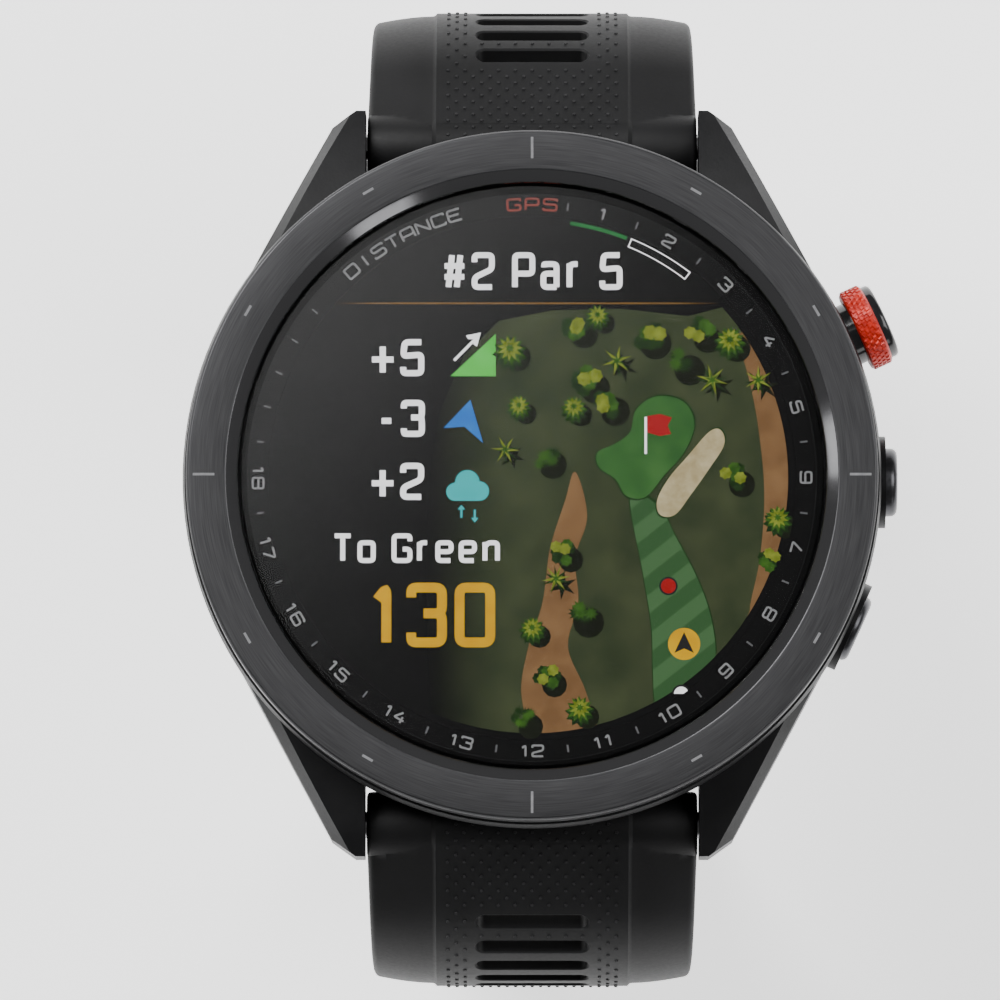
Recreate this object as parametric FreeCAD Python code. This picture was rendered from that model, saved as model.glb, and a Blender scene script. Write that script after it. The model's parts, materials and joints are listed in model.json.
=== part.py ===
import FreeCAD, Part
import math
import os

from FreeCAD import Vector

# Golf GPS watch on its closed strap, in millimetres.
# The origin is the centre of the flat sensor window that rests on the wrist.
# +Z comes out through the dial, +Y points to 12 o'clock and +X to the buttons.

os.makedirs("parts", exist_ok=True)

# ---- head: heights ----
BACK_Z = 1.2            # outer face of the rear cover
COVER_T = 1.0           # thickness of the rear cover
GASKET_T = 0.2          # compressed thickness of the rear gasket
FLANGE_T = 1.0          # case flange that the rear cover screws to
CASE_TOP_Z = 11.3       # seat of the bezel ring
SEAL_LEDGE_Z = 11.2     # seat of the lens seal
SEAL_T = 0.25
RING_LAP = 0.2          # how far the dial ring laps over the tray
LENS_T = 1.5
HEAD_H = 13.9           # top of the bezel ring
# ---- head: radii ----
CASE_R = 23.5           # widest part of the case
CASE_TOP_R = 23.35
CASE_BACK_R = 21.6
CASE_WAIST_R = 22.9
CASE_WAIST_Z = 4.6
CASE_WIDE_Z = 9.4
CASE_WIDE_H = 1.2       # height of the widest band
CASE_BACK_EDGE = 0.4    # bevel at the back of the case
CAVITY_R = 18.0         # inside of the case
TRAY_SEAT_Z = 9.4       # step on which the display tray sits
BEZEL_R = 23.2
BEZEL_FLAT_R = 20.6     # inner edge of the brushed flat
BEZEL_EDGE = 0.28       # bevel on the outer edge of the bezel ring
LENS_R = 19.65
LENS_EDGE = 0.15
DIAL_RING_R_IN = 17.75
COVER_R = 20.6
FIT = 0.05              # clearance round pieces that are glued or dropped in
# ---- lugs ----
LUG_GAP = 22.5          # between the two lugs of a pair
LUG_TIP_Y = 25.25
LUG_TIP_X = 11.9
LUG_CORNER = (13.5, 24.1)
LUG_TOP_FROM_Y = 11.0   # where the top of the lugs starts to fall
LUG_TOP_BEND = (19.0, 9.85)
LUG_LOW_Y = 17.0
LUG_ROOT_Y = 8.0        # where the lugs leave the round case
LUG_ROOT_DEPTH = 2.0
LUG_ROOT = (21.6, 9.0)
LUG_TOP_Z = 10.7
LUG_TIP_TOP_Z = 7.4
LUG_TIP_LOW_Z = 2.9
LUG_LOW_Z = 1.9
LUG_ROUND = 0.7
NOTCH_WALL_Y = 20.2     # case wall facing the end of the strap
NOTCH_TOP_Z = 9.2
NOTCH_LOW_Z = 2.5
PIN_Y = 23.0            # lug pin axis
PIN_Z = 5.0
PIN_R = 0.9
PIN_SEAT = 1.4          # how deep each end of the pin sits in its lug
# ---- rear cover, sensor and port ----
COVER_SCREW_PCD_R = 19.05
COVER_SCREW_ANGLES = (38.0, 142.0, 218.0, 322.0)
SCREW_R = 0.6
SCREW_HEAD_R = 1.15
SCREW_HEAD_T = 0.65
SCREW_LEN = 4.0
SCREW_TIP_ROOM = 0.4
SCREW_SUNK = 0.05       # head below the face of the cover
THREAD_FIT = 0.02
HEAD_CLEAR = 0.1
SHANK_CLEAR = 0.15
SCREW_SLOT = 0.35
GASKET_R_IN = 17.3
GASKET_R_OUT = 17.9
FLANGE_R_IN = 17.2
WINDOW_FACE_R = 9.6
WINDOW_R = 11.0
WINDOW_FLANGE_R = 11.7
WINDOW_T = 2.1
WINDOW_FLANGE_T = 0.6
WINDOW_EDGE_Z = 0.95    # foot of the dome on the window's face
PORT_Y = -14.4
PORT_R = 2.5
PORT_WALL = 0.45
PORT_H = 2.4
PORT_FLOOR = 0.6
CONTACT_R = 0.28
CONTACT_PITCH = 1.3
CONTACT_SUNK = 0.4      # contact face below the cover's face
CONTACT_TAIL = 0.1
VENT_Y = 14.4
VENT_R = 1.1
VENT_HOLE_R = 0.5
# ---- inside of the head ----
TRAY_R = 18.85
TRAY_FLOOR_T = 0.6
DISPLAY_R = 17.65
DISPLAY_T = 1.0
DIAL_RING_T = 0.15
ANTENNA_R_IN = 20.0
ANTENNA_R_OUT = 22.3
ANTENNA_T = 0.8
FRAME_R = 17.8          # inner frame that carries board and battery
FRAME_WALL = 1.1
FRAME_LOW_Z = 3.6
FRAME_TOP_Z = 9.2
BOARD_Z = 7.0
BOARD_T = 0.8
BOARD_SHELF = 1.1
BOARD_SHELF_T = 0.4
BATTERY = (22.0, 18.0, 2.8)
BATTERY_Y = -2.0
BATTERY_CORNER = 3.0
BATTERY_Z = 3.75
MOTOR_R = 3.4
MOTOR_T = 2.6
MOTOR_Y = 11.0
SENSOR_BOARD_R = 7.0
SENSOR_BOARD_T = 0.6
LED_R = 0.7
LED_T = 0.4
LED_RING_R = 3.6
LED_COUNT = 6
# shield cans and parts of the main board: x from and to, y from and to, height
CANS = ((-10.0, 0.0, -4.0, 6.0, 1.0), (2.0, 9.0, -9.0, 0.0, 1.0))
CHIPS = ((-6.5, -2.5, -9.5, -6.0, 0.7), (2.5, 5.5, 3.0, 5.5, 0.6), (-3.0, 4.0, 8.5, 10.5, 0.9))
FLEX_T = 0.15
FLEX_HALF_W = 2.5
FLEX_X = -15.0          # where the ribbon climbs
FLEX_FOOT_X = -11.5
FLEX_HEAD_X = -8.0
# ---- buttons ----
BUTTON_Z = 7.4
BUTTON_TRAVEL = 0.6
START_ANGLE = 25.0
UP_ANGLE = 0.0
BACK_ANGLE = -24.5
STEM_R = 1.1
STEM_CLEAR = 0.06
SLEEVE_R = 1.75
SLEEVE_IN = 18.1        # inner end of each sleeve, from the watch centre
SLEEVE_OUT = 21.6
STEM_IN = 17.15
CLIP_T = 0.3
CLIP_R = 1.6
CLIP_GROOVE_R = 0.75
ORING_WIRE_R = 0.22
ORING_AT = 20.4
SPRING_WIRE_R = 0.14
SPRING_PITCH = 0.5
SPRING_R = 1.5
SPRING_LEN = 1.0
WELL_FLOOR = 22.0       # floor of the well that a cap slides in
CAP_IN = 23.05          # inner face of a cap at rest
GUARD_R = 3.1
GUARD_OUT = 23.8
START_GUARD_R = 2.9
START_GUARD_OUT = 23.6
SMALL_CAP_R = 2.3
SMALL_CAP_OUT = 24.6
WELL_CLEAR = 0.15
START_NECK_R = 2.15
START_BAND_R = 2.85
BAND_CLEAR = 0.1        # left between the pressed band and the case
START_BAND_IN = 24.1
START_BAND_OUT = 25.6
START_CAP_R = 2.6
START_CAP_OUT = 26.2
SWITCH = (1.4, 2.4, 1.6)
SWITCH_GAP = 0.05       # between a pressed stem and its switch
SWITCH_WINDOW = 0.4     # room each side of a switch in the inner frame
SWITCH_WINDOW_FROM = 12.0
BOARD_CUT_CLEAR = 0.1
ORING_GROOVE = 0.3      # half width of the seal's groove
ORING_DEPTH = 0.4
CLIP_MOUTH = 0.6        # half width of the clip's opening
SPRING_PLAY = 0.02
SMALL_DOME = 0.35
START_DOME = 0.55
# ---- strap loop ----
STRAP_W = 22.3
STRAP_W_TAIL = 20.5
TAPER_LEN = 34.0
LUG_STRAIGHT = 5.0      # stiff straight end of each strap half
LUG_HEADING = 35.0      # degrees below the horizontal
LOOP_R = 56.6           # buckle half: middle of its thickness, from the 6 o'clock pin
LAYER_GAP = 0.2         # between the two layers of the loop
HALF_T_BUCKLE = 1.3
HALF_T_HOLE = 1.2
END_T_OUT = 2.45        # strap's outer face over the lug pin
END_T_IN = 1.75
THIN_FROM = 5.0         # where the thick end starts to thin
THIN_LEN = 14.0
BOTTOM_R = 20.0
BOTTOM_ANGLE = 67.0
TIP_ANGLE = 24.0
TIP_ROUND = 8.5
SLOT_COUNT = 5
SLOT_W = 7.5
SLOT_H = 1.1
SLOT_FIRST = 6.1
SLOT_PITCH = 1.95
HOLE_COUNT = 9
HOLES_TOWARDS_TIP = 3
HOLE_PITCH = 6.6
HOLE_L = 4.8
TONGUE_OFFSET = 2.7     # middle of the used hole, beyond the buckle pin
HOLE_W = 2.3
# ---- buckle and keepers ----
BUCKLE_PIN_ANGLE = 55.6
BUCKLE_PIN_R = 0.75
BAR_ANGLE = 64.0
BAR_ARC = 2.0           # degrees covered by the far bar
BAR_T = 1.6
ARM_W = 1.6
ARM_GAP = 0.35          # between an arm and the strap's edge
BOSS_R = 1.8
TONGUE_W = 1.7
TONGUE_T = 1.1
TONGUE_HUB_R = 1.3
TONGUE_TIP_THIN = 0.3
TONGUE_REST_BACK = 0.6  # degrees before the far bar where the tongue comes to rest
TONGUE_ON_BAR = 0.05
# crank of the tongue, from the pin outwards and back: along the strap, and away from the wrist
TONGUE_LOWER = ((0.9, -0.55), (3.1, -0.35), (4.35, 3.9))
TONGUE_UPPER = ((3.35, 4.75), (2.1, 0.75), (0.9, 0.55))
TONGUE_SLOT = 0.3       # clearance each side of the tongue
RUN_FIT = 0.06
KEEPER_ARC = 5.0
KEEPER_WALL = 1.2
KEEPER_CLEAR = 0.25
KEEPER_ROUND = 0.5
FIXED_KEEPER_ANGLE = 49.5
FREE_KEEPER_ANGLE = 37.5
# ---- quick-release end ----
HOOK_R = 1.9
HOOK_BORE_CLEAR = 0.05
HOOK_W = 19.6
HOOK_MOUTH = 1.8
PLATE_T = 1.0
PLATE_LEN = 5.2
PLATE_W = 17.0
LATCH_W = 8.0
LATCH_T = 0.7
LATCH_NOSE_W = 6.0
LATCH_NOSE_T = 0.45
LATCH_FROM = 2.15
LATCH_TO = 4.0
LATCH_TRAVEL = 1.2
LATCH_CLEAR = 0.1
LATCH_SPRING_R = 0.26
LATCH_SPRING_WIRE_R = 0.06

# ---- values that follow ----
COVER_TOP_Z = BACK_Z + COVER_T
FLANGE_Z = COVER_TOP_Z + GASKET_T
LENS_Z = SEAL_LEDGE_Z + SEAL_T
LENS_TOP_Z = LENS_Z + LENS_T
BEZEL_R_IN = LENS_R + FIT
DISPLAY_Z = TRAY_SEAT_Z + 0.1 + TRAY_FLOOR_T
PIN_HALF = LUG_GAP / 2 + PIN_SEAT
PIN_12 = Vector(0, PIN_Y, PIN_Z)
PIN_6 = Vector(0, -PIN_Y, PIN_Z)
TAIL_R = LOOP_R + HALF_T_BUCKLE + LAYER_GAP + HALF_T_HOLE
BAR_R_IN = TAIL_R + HALF_T_HOLE + LAYER_GAP
BAR_R_OUT = BAR_R_IN + BAR_T
ARM_X_IN = STRAP_W_TAIL / 2 + ARM_GAP
ARM_X_OUT = ARM_X_IN + ARM_W
FAR = 80.0              # longer than anything it cuts

made = {}


def keep(name, *solids):
    """Write one node, from one solid or from a group of separate ones."""
    shape = solids[0] if len(solids) == 1 else Part.makeCompound(list(solids))
    shape.exportStep("parts/" + name + ".step")
    made[name] = shape


def box(x0, x1, y0, y1, z0, z1):
    return Part.makeBox(x1 - x0, y1 - y0, z1 - z0, Vector(x0, y0, z0))


def disc(radius, z0, z1, x=0.0, y=0.0):
    return Part.makeCylinder(radius, z1 - z0, Vector(x, y, z0), Vector(0, 0, 1))


def ring(r_in, r_out, z0, z1):
    return disc(r_out, z0, z1).cut(disc(r_in, z0 - 1, z1 + 1))


def turned(profile):
    """Solid turned about Z from (radius, height) corners."""
    points = [Vector(r, 0, z) for r, z in profile]
    face = Part.Face(Part.makePolygon(points + points[:1]))
    return face.revolve(Vector(0, 0, 0), Vector(0, 0, 1), 360)


def solid_of(shape):
    """The single solid that a boolean leaves."""
    clean = shape.removeSplitter()
    return clean.Solids[0] if len(clean.Solids) == 1 else clean


# ======================= head: case =======================

def lug_profile():
    """Side view of the lugs, from tip to tip, as a plate along X."""
    top = Part.Arc(Vector(0, -LUG_TIP_Y, LUG_TIP_TOP_Z), Vector(0, -LUG_TOP_BEND[0], LUG_TOP_BEND[1]),
                   Vector(0, -LUG_TOP_FROM_Y, LUG_TOP_Z)).toShape()
    top_2 = Part.Arc(Vector(0, LUG_TOP_FROM_Y, LUG_TOP_Z), Vector(0, LUG_TOP_BEND[0], LUG_TOP_BEND[1]),
                     Vector(0, LUG_TIP_Y, LUG_TIP_TOP_Z)).toShape()
    corners = [Vector(0, LUG_TIP_Y, LUG_TIP_TOP_Z), Vector(0, LUG_TIP_Y, LUG_TIP_LOW_Z),
               Vector(0, LUG_LOW_Y, LUG_LOW_Z), Vector(0, -LUG_LOW_Y, LUG_LOW_Z),
               Vector(0, -LUG_TIP_Y, LUG_TIP_LOW_Z), Vector(0, -LUG_TIP_Y, LUG_TIP_TOP_Z)]
    lower = [Part.makeLine(a, b) for a, b in zip(corners, corners[1:])]
    bridge = Part.makeLine(Vector(0, -LUG_TOP_FROM_Y, LUG_TOP_Z), Vector(0, LUG_TOP_FROM_Y, LUG_TOP_Z))
    wire = Part.Wire(Part.__sortEdges__([top, bridge, top_2] + lower))
    plate = Part.Face(wire).extrude(Vector(2 * CASE_R, 0, 0))
    plate.translate(Vector(-CASE_R, 0, 0))
    return plate


def lug_plan(side_x, side_y):
    """Plan of one lug as a tall prism, in the quadrant given by the two signs."""
    inner_x = LUG_GAP / 2
    outline = [(inner_x, LUG_ROOT_Y), (LUG_ROOT[0] - LUG_ROOT_DEPTH, LUG_ROOT_Y), LUG_ROOT, LUG_CORNER,
               (LUG_TIP_X, LUG_TIP_Y), (inner_x, LUG_TIP_Y)]
    points = [Vector(side_x * x, side_y * y, 0) for x, y in outline]
    face = Part.Face(Part.makePolygon(points + points[:1]))
    return face.extrude(Vector(0, 0, HEAD_H))


def rounded_lug(plan, profile):
    """One lug with its long outer edges rounded."""
    lug = plan.common(profile).Solids[0]
    edges = []
    for edge in lug.Edges:
        limits = edge.BoundBox
        on_flank = limits.XLength > 4.0 and limits.YLength > 6.0
        if on_flank:
            edges.append(edge)
    return lug.makeChamfer(LUG_ROUND, edges)


def case_body():
    body = turned([(FLANGE_R_IN, BACK_Z), (CASE_BACK_R - CASE_BACK_EDGE, BACK_Z),
                   (CASE_BACK_R, BACK_Z + CASE_BACK_EDGE),
                   (CASE_WAIST_R, CASE_WAIST_Z), (CASE_R, CASE_WIDE_Z), (CASE_R, CASE_WIDE_Z + CASE_WIDE_H),
                   (CASE_TOP_R, CASE_TOP_Z), (FLANGE_R_IN, CASE_TOP_Z)])
    profile = lug_profile()
    for side_x in (1, -1):
        for side_y in (1, -1):
            body = body.fuse(rounded_lug(lug_plan(side_x, side_y), profile))
    for angle in (UP_ANGLE, BACK_ANGLE):
        body = body.fuse(radial(cyl_x(GUARD_R, CAVITY_R + 1, GUARD_OUT), angle))
    body = body.fuse(radial(cyl_x(START_GUARD_R, CAVITY_R + 1, START_GUARD_OUT), START_ANGLE))
    return body.removeSplitter()


def case_cavities():
    """What the case is hollowed by, from back to front."""
    cuts = [disc(COVER_R + FIT, 0, FLANGE_Z),
            disc(FLANGE_R_IN, 0, FLANGE_Z + FLANGE_T + 1),
            disc(CAVITY_R, FLANGE_Z + FLANGE_T, TRAY_SEAT_Z),
            disc(TRAY_R + FIT, TRAY_SEAT_Z, CASE_TOP_Z + 1),
            disc(LENS_R + FIT, SEAL_LEDGE_Z, CASE_TOP_Z + 1),
            ring(ANTENNA_R_IN - FIT, ANTENNA_R_OUT + FIT, CASE_TOP_Z - ANTENNA_T, CASE_TOP_Z + 1)]
    for side_y in (1, -1):
        near, far = sorted((side_y * NOTCH_WALL_Y, side_y * FAR))
        cuts.append(box(-LUG_GAP / 2, LUG_GAP / 2, near, far, NOTCH_LOW_Z, NOTCH_TOP_Z))
        cuts.append(Part.makeCylinder(PIN_R, 2 * PIN_HALF, Vector(-PIN_HALF, side_y * PIN_Y, PIN_Z),
                                      Vector(1, 0, 0)))
    for angle in (START_ANGLE, UP_ANGLE, BACK_ANGLE):
        cap_r = START_NECK_R if angle == START_ANGLE else SMALL_CAP_R
        cuts.append(radial(cyl_x(SLEEVE_R, CAVITY_R - 2, SLEEVE_OUT), angle))
        cuts.append(radial(cyl_x(STEM_R + 4 * STEM_CLEAR, SLEEVE_OUT - 1, WELL_FLOOR + 1), angle))
        cuts.append(radial(cyl_x(cap_r + WELL_CLEAR, WELL_FLOOR, FAR), angle))
    band_seat = START_BAND_IN - BUTTON_TRAVEL - BAND_CLEAR
    cuts.append(radial(cyl_x(START_BAND_R + WELL_CLEAR, band_seat, FAR), START_ANGLE))
    for x, y in screw_places():
        cuts.append(disc(SCREW_R + THREAD_FIT, BACK_Z, BACK_Z + SCREW_LEN + SCREW_TIP_ROOM, x, y))
    return cuts


def screw_places():
    return [(COVER_SCREW_PCD_R * math.cos(math.radians(a)), COVER_SCREW_PCD_R * math.sin(math.radians(a)))
            for a in COVER_SCREW_ANGLES]


def make_case():
    body = case_body()
    for cut in case_cavities():
        body = body.cut(cut)
    keep("mid_case", solid_of(body))
    for name, pin in (("lug_pin_12", PIN_12), ("lug_pin_6", PIN_6)):
        keep(name, Part.makeCylinder(PIN_R, 2 * PIN_HALF, pin + Vector(-PIN_HALF, 0, 0), Vector(1, 0, 0)))


def make_front():
    chamfer_foot_z = LENS_TOP_Z
    keep("bezel_ring", turned([(BEZEL_R_IN, CASE_TOP_Z), (BEZEL_R, CASE_TOP_Z),
                               (BEZEL_R, HEAD_H - BEZEL_EDGE), (BEZEL_R - BEZEL_EDGE, HEAD_H),
                               (BEZEL_FLAT_R, HEAD_H), (BEZEL_R_IN, chamfer_foot_z)]))
    keep("lens", turned([(0, LENS_Z), (LENS_R, LENS_Z), (LENS_R, LENS_TOP_Z - LENS_EDGE),
                         (LENS_R - LENS_EDGE, LENS_TOP_Z), (0, LENS_TOP_Z)]))
    keep("lens_seal", ring(TRAY_R + 2 * FIT + RING_LAP, LENS_R - FIT, SEAL_LEDGE_Z, LENS_Z))
    keep("antenna_ring", ring(ANTENNA_R_IN, ANTENNA_R_OUT, CASE_TOP_Z - ANTENNA_T, CASE_TOP_Z))
    tray = disc(TRAY_R, TRAY_SEAT_Z, DISPLAY_Z)
    tray = tray.fuse(ring(DIAL_RING_R_IN, TRAY_R, TRAY_SEAT_Z, SEAL_LEDGE_Z))
    keep("display_tray", solid_of(tray))
    keep("display_panel", disc(DISPLAY_R, DISPLAY_Z, DISPLAY_Z + DISPLAY_T))
    keep("dial_ring", ring(DIAL_RING_R_IN, TRAY_R + RING_LAP, SEAL_LEDGE_Z, SEAL_LEDGE_Z + DIAL_RING_T))


# ======================= head: back =======================

def make_back():
    cover = disc(COVER_R, BACK_Z, COVER_TOP_Z)
    cover = cover.cut(disc(WINDOW_R + FIT, 0, FAR))
    cover = cover.cut(disc(WINDOW_FLANGE_R + FIT, WINDOW_T - WINDOW_FLANGE_T, FAR))
    cover = cover.cut(disc(PORT_R + FIT, 0, FAR, 0, PORT_Y))
    cover = cover.cut(disc(VENT_HOLE_R, 0, FAR, 0, VENT_Y))
    screws = []
    for x, y in screw_places():
        cover = cover.cut(disc(SCREW_HEAD_R + HEAD_CLEAR, 0, BACK_Z + SCREW_HEAD_T, x, y))
        cover = cover.cut(disc(SCREW_R + SHANK_CLEAR, 0, FAR, x, y))
        screws.append(cover_screw(x, y))
    keep("rear_cover", solid_of(cover))
    keep("rear_cover_screws", *screws)
    keep("rear_gasket", ring(GASKET_R_IN, GASKET_R_OUT, COVER_TOP_Z, FLANGE_Z))
    keep("sensor_window", turned([(0, 0), (WINDOW_FACE_R, 0), (WINDOW_R, WINDOW_EDGE_Z),
                                  (WINDOW_R, WINDOW_T - WINDOW_FLANGE_T),
                                  (WINDOW_FLANGE_R, WINDOW_T - WINDOW_FLANGE_T),
                                  (WINDOW_FLANGE_R, WINDOW_T), (0, WINDOW_T)]))
    keep("pressure_vent", disc(VENT_R, COVER_TOP_Z, FLANGE_Z, 0, VENT_Y))


def cover_screw(x, y):
    head = disc(SCREW_HEAD_R, BACK_Z + SCREW_SUNK, BACK_Z + SCREW_HEAD_T, x, y)
    head = head.cut(box(x - FAR, x + FAR, y - SCREW_SLOT / 2, y + SCREW_SLOT / 2,
                        BACK_Z, BACK_Z + SCREW_SUNK + SCREW_SLOT))
    return solid_of(head.fuse(disc(SCREW_R, BACK_Z + SCREW_HEAD_T - 0.1, BACK_Z + SCREW_LEN, x, y)))


def make_port():
    port = disc(PORT_R, BACK_Z, BACK_Z + PORT_H, 0, PORT_Y)
    port = port.cut(disc(PORT_R - PORT_WALL, 0, BACK_Z + PORT_H - PORT_FLOOR, 0, PORT_Y))
    contacts = []
    for column in (-0.5, 0.5):
        for row in (-0.5, 0.5):
            x = column * CONTACT_PITCH
            y = PORT_Y + row * CONTACT_PITCH
            low = BACK_Z + CONTACT_SUNK
            contacts.append(disc(CONTACT_R, low, BACK_Z + PORT_H + CONTACT_TAIL, x, y))
            port = port.cut(disc(CONTACT_R, 0, FAR, x, y))
    keep("charging_port", solid_of(port))
    keep("charging_contacts", *contacts)


def make_sensor():
    board_z = WINDOW_T + LED_T
    keep("sensor_board", disc(SENSOR_BOARD_R, board_z, board_z + SENSOR_BOARD_T))
    leds = []
    for step in range(LED_COUNT):
        angle = math.radians(360 / LED_COUNT * step)
        leds.append(disc(LED_R, WINDOW_T, board_z, LED_RING_R * math.cos(angle), LED_RING_R * math.sin(angle)))
    leds.append(disc(1.5 * LED_R, WINDOW_T, board_z))
    keep("sensor_leds", *leds)


# ======================= head: inside =======================

def make_inside():
    frame = ring(FRAME_R - FRAME_WALL, FRAME_R, FRAME_LOW_Z, FRAME_TOP_Z)
    shelf_r = FRAME_R - FRAME_WALL - BOARD_SHELF
    frame = frame.fuse(ring(shelf_r, FRAME_R, BOARD_Z - BOARD_SHELF_T, BOARD_Z))
    for angle in (START_ANGLE, UP_ANGLE, BACK_ANGLE):
        gap = SWITCH[1] / 2 + SWITCH_WINDOW
        frame = frame.cut(radial(box(SWITCH_WINDOW_FROM, FRAME_R + 1, -gap, gap, BOARD_Z - 1, FRAME_TOP_Z + 1), angle))
    keep("inner_frame", solid_of(frame))
    board = disc(FRAME_R - FRAME_WALL - FIT, BOARD_Z, BOARD_Z + BOARD_T)
    switches = []
    switch_out = STEM_IN - BUTTON_TRAVEL - SWITCH_GAP
    for angle in (START_ANGLE, UP_ANGLE, BACK_ANGLE):
        low = BUTTON_Z - SWITCH[2] / 2
        body = box(switch_out - SWITCH[0], switch_out, -SWITCH[1] / 2, SWITCH[1] / 2, low, low + SWITCH[2])
        cut_half = SWITCH[1] / 2 + BOARD_CUT_CLEAR
        board = board.cut(radial(box(switch_out - SWITCH[0] - BOARD_CUT_CLEAR, FAR, -cut_half, cut_half,
                                     BOARD_Z - 1, BOARD_Z + 2), angle))
        switches.append(radial(body, angle))
    keep("button_switches", *switches)
    keep("main_board", solid_of(board))
    top = BOARD_Z + BOARD_T
    keep("shield_cans", *[box(x0, x1, y0, y1, top, top + high) for x0, x1, y0, y1, high in CANS])
    keep("board_parts", *[box(x0, x1, y0, y1, top, top + high) for x0, x1, y0, y1, high in CHIPS])
    make_flex(top)
    keep("battery", battery())
    motor = disc(MOTOR_R, BATTERY_Z, BATTERY_Z + MOTOR_T, 0, MOTOR_Y)
    keep("vibration_motor", motor)


def make_flex(top):
    """Ribbon from the main board up to the display tray."""
    half = FLEX_HALF_W
    run = box(FLEX_X, FLEX_FOOT_X, -half, half, top, top + FLEX_T)
    run = run.fuse(box(FLEX_X, FLEX_X + FLEX_T, -half, half, top, TRAY_SEAT_Z))
    run = run.fuse(box(FLEX_X, FLEX_HEAD_X, -half, half, TRAY_SEAT_Z - FLEX_T, TRAY_SEAT_Z))
    keep("display_flex", solid_of(run))


def battery():
    wide, long, thick = BATTERY
    cell = box(-wide / 2, wide / 2, BATTERY_Y - long / 2, BATTERY_Y + long / 2, BATTERY_Z, BATTERY_Z + thick)
    upright = [e for e in cell.Edges if e.BoundBox.ZLength > thick / 2]
    return cell.makeFillet(BATTERY_CORNER, upright)


# ======================= buttons =======================

def radial(shape, angle):
    """A piece built along +X, turned to its clock angle about the watch axis."""
    turned_shape = shape.copy()
    turned_shape.rotate(Vector(0, 0, 0), Vector(0, 0, 1), angle)
    return turned_shape


def cyl_x(radius, x0, x1):
    return Part.makeCylinder(radius, x1 - x0, Vector(x0, 0, BUTTON_Z), Vector(1, 0, 0))


def coil(radius, wire_r, pitch, length):
    """Open coil spring along +Z from the origin, of hexagonal wire."""
    helix = Part.makeHelix(pitch, length, radius)
    corners = [Vector(radius + wire_r * math.cos(math.radians(60 * i)), 0, wire_r * math.sin(math.radians(60 * i)))
               for i in range(6)]
    section = Part.makePolygon(corners + corners[:1])
    return Part.Wire(helix.Edges).makePipeShell([section], True, True)


def domed(radius, x0, x1, rise):
    """Round cap along X whose outer face is a shallow dome with a rounded rim."""
    body = cyl_x(radius, x0, x1)
    ball_r = (radius * radius + rise * rise) / (2 * rise)
    ball = Part.makeSphere(ball_r, Vector(x1 - ball_r, 0, BUTTON_Z))
    return body.common(ball)


def make_button(name, angle, cap):
    """Stem, seal, clip, spring and cap of one button."""
    stem = cyl_x(STEM_R, STEM_IN, CAP_IN)
    groove = cyl_x(STEM_R + 1, ORING_AT - ORING_GROOVE, ORING_AT + ORING_GROOVE)
    stem = stem.cut(groove.cut(cyl_x(STEM_R - ORING_DEPTH, 0, FAR)))
    clip_at = SLEEVE_IN - SPRING_PLAY - CLIP_T
    clip_groove = cyl_x(STEM_R + 1, clip_at, clip_at + CLIP_T)
    stem = stem.cut(clip_groove.cut(cyl_x(CLIP_GROOVE_R, 0, FAR)))
    keep(name + "_button_stem", radial(solid_of(stem), angle))
    clip = cyl_x(CLIP_R, clip_at, clip_at + CLIP_T).cut(cyl_x(CLIP_GROOVE_R, 0, FAR))
    clip = clip.cut(box(0, FAR, -CLIP_MOUTH, CLIP_MOUTH, 0, BUTTON_Z))
    keep(name + "_button_clip", radial(solid_of(clip), angle))
    seal_r = STEM_R + STEM_CLEAR - 0.01 - ORING_WIRE_R
    seal = Part.makeTorus(seal_r, ORING_WIRE_R, Vector(ORING_AT, 0, BUTTON_Z), Vector(1, 0, 0))
    keep(name + "_button_seal", radial(seal, angle))
    spring = coil(SPRING_R, SPRING_WIRE_R, SPRING_PITCH, SPRING_LEN - 2 * SPRING_WIRE_R - 0.05)
    spring.rotate(Vector(0, 0, 0), Vector(0, 1, 0), 90)
    spring.translate(Vector(WELL_FLOOR + SPRING_WIRE_R + SPRING_PLAY, 0, BUTTON_Z))
    keep(name + "_button_spring", radial(spring, angle))
    keep(name + "_button_cap", radial(solid_of(cap), angle))


def start_cap():
    neck = cyl_x(START_NECK_R, CAP_IN, START_BAND_OUT)
    return neck.fuse(domed(START_CAP_R, START_BAND_OUT, START_CAP_OUT, START_DOME))


def make_buttons():
    small = domed(SMALL_CAP_R, CAP_IN, SMALL_CAP_OUT, SMALL_DOME)
    make_button("start", START_ANGLE, start_cap())
    make_button("up", UP_ANGLE, small)
    make_button("back", BACK_ANGLE, small)
    band = cyl_x(START_BAND_R, START_BAND_IN, START_BAND_OUT).cut(cyl_x(START_NECK_R, 0, FAR))
    keep("start_button_band", radial(band, START_ANGLE))
    sleeve = cyl_x(SLEEVE_R, SLEEVE_IN, SLEEVE_OUT).cut(cyl_x(STEM_R + STEM_CLEAR, 0, FAR))
    keep("button_sleeves", *[radial(sleeve, a) for a in (START_ANGLE, UP_ANGLE, BACK_ANGLE)])


# ======================= strap: path of the loop =======================

def on_circle(centre, radius, angle):
    """Point at an angle in the YZ plane, counted from +Y towards +Z."""
    turn = math.radians(angle)
    return centre + Vector(0, radius * math.cos(turn), radius * math.sin(turn))


def lug_arc():
    """Centre, radius and first angle of the bend that follows the straight end at 12 o'clock."""
    heading = math.radians(LUG_HEADING)
    along = Vector(0, math.cos(heading), -math.sin(heading))
    inward = Vector(0, -math.sin(heading), -math.cos(heading))
    start = PIN_12 + along * LUG_STRAIGHT
    reach = start - PIN_6
    radius = (LOOP_R ** 2 - reach.dot(reach)) / (2 * (reach.dot(inward) + LOOP_R))
    return start + inward * radius, radius, 90.0 - LUG_HEADING


def mirrored(point):
    return Vector(point.x, -point.y, point.z)


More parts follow.
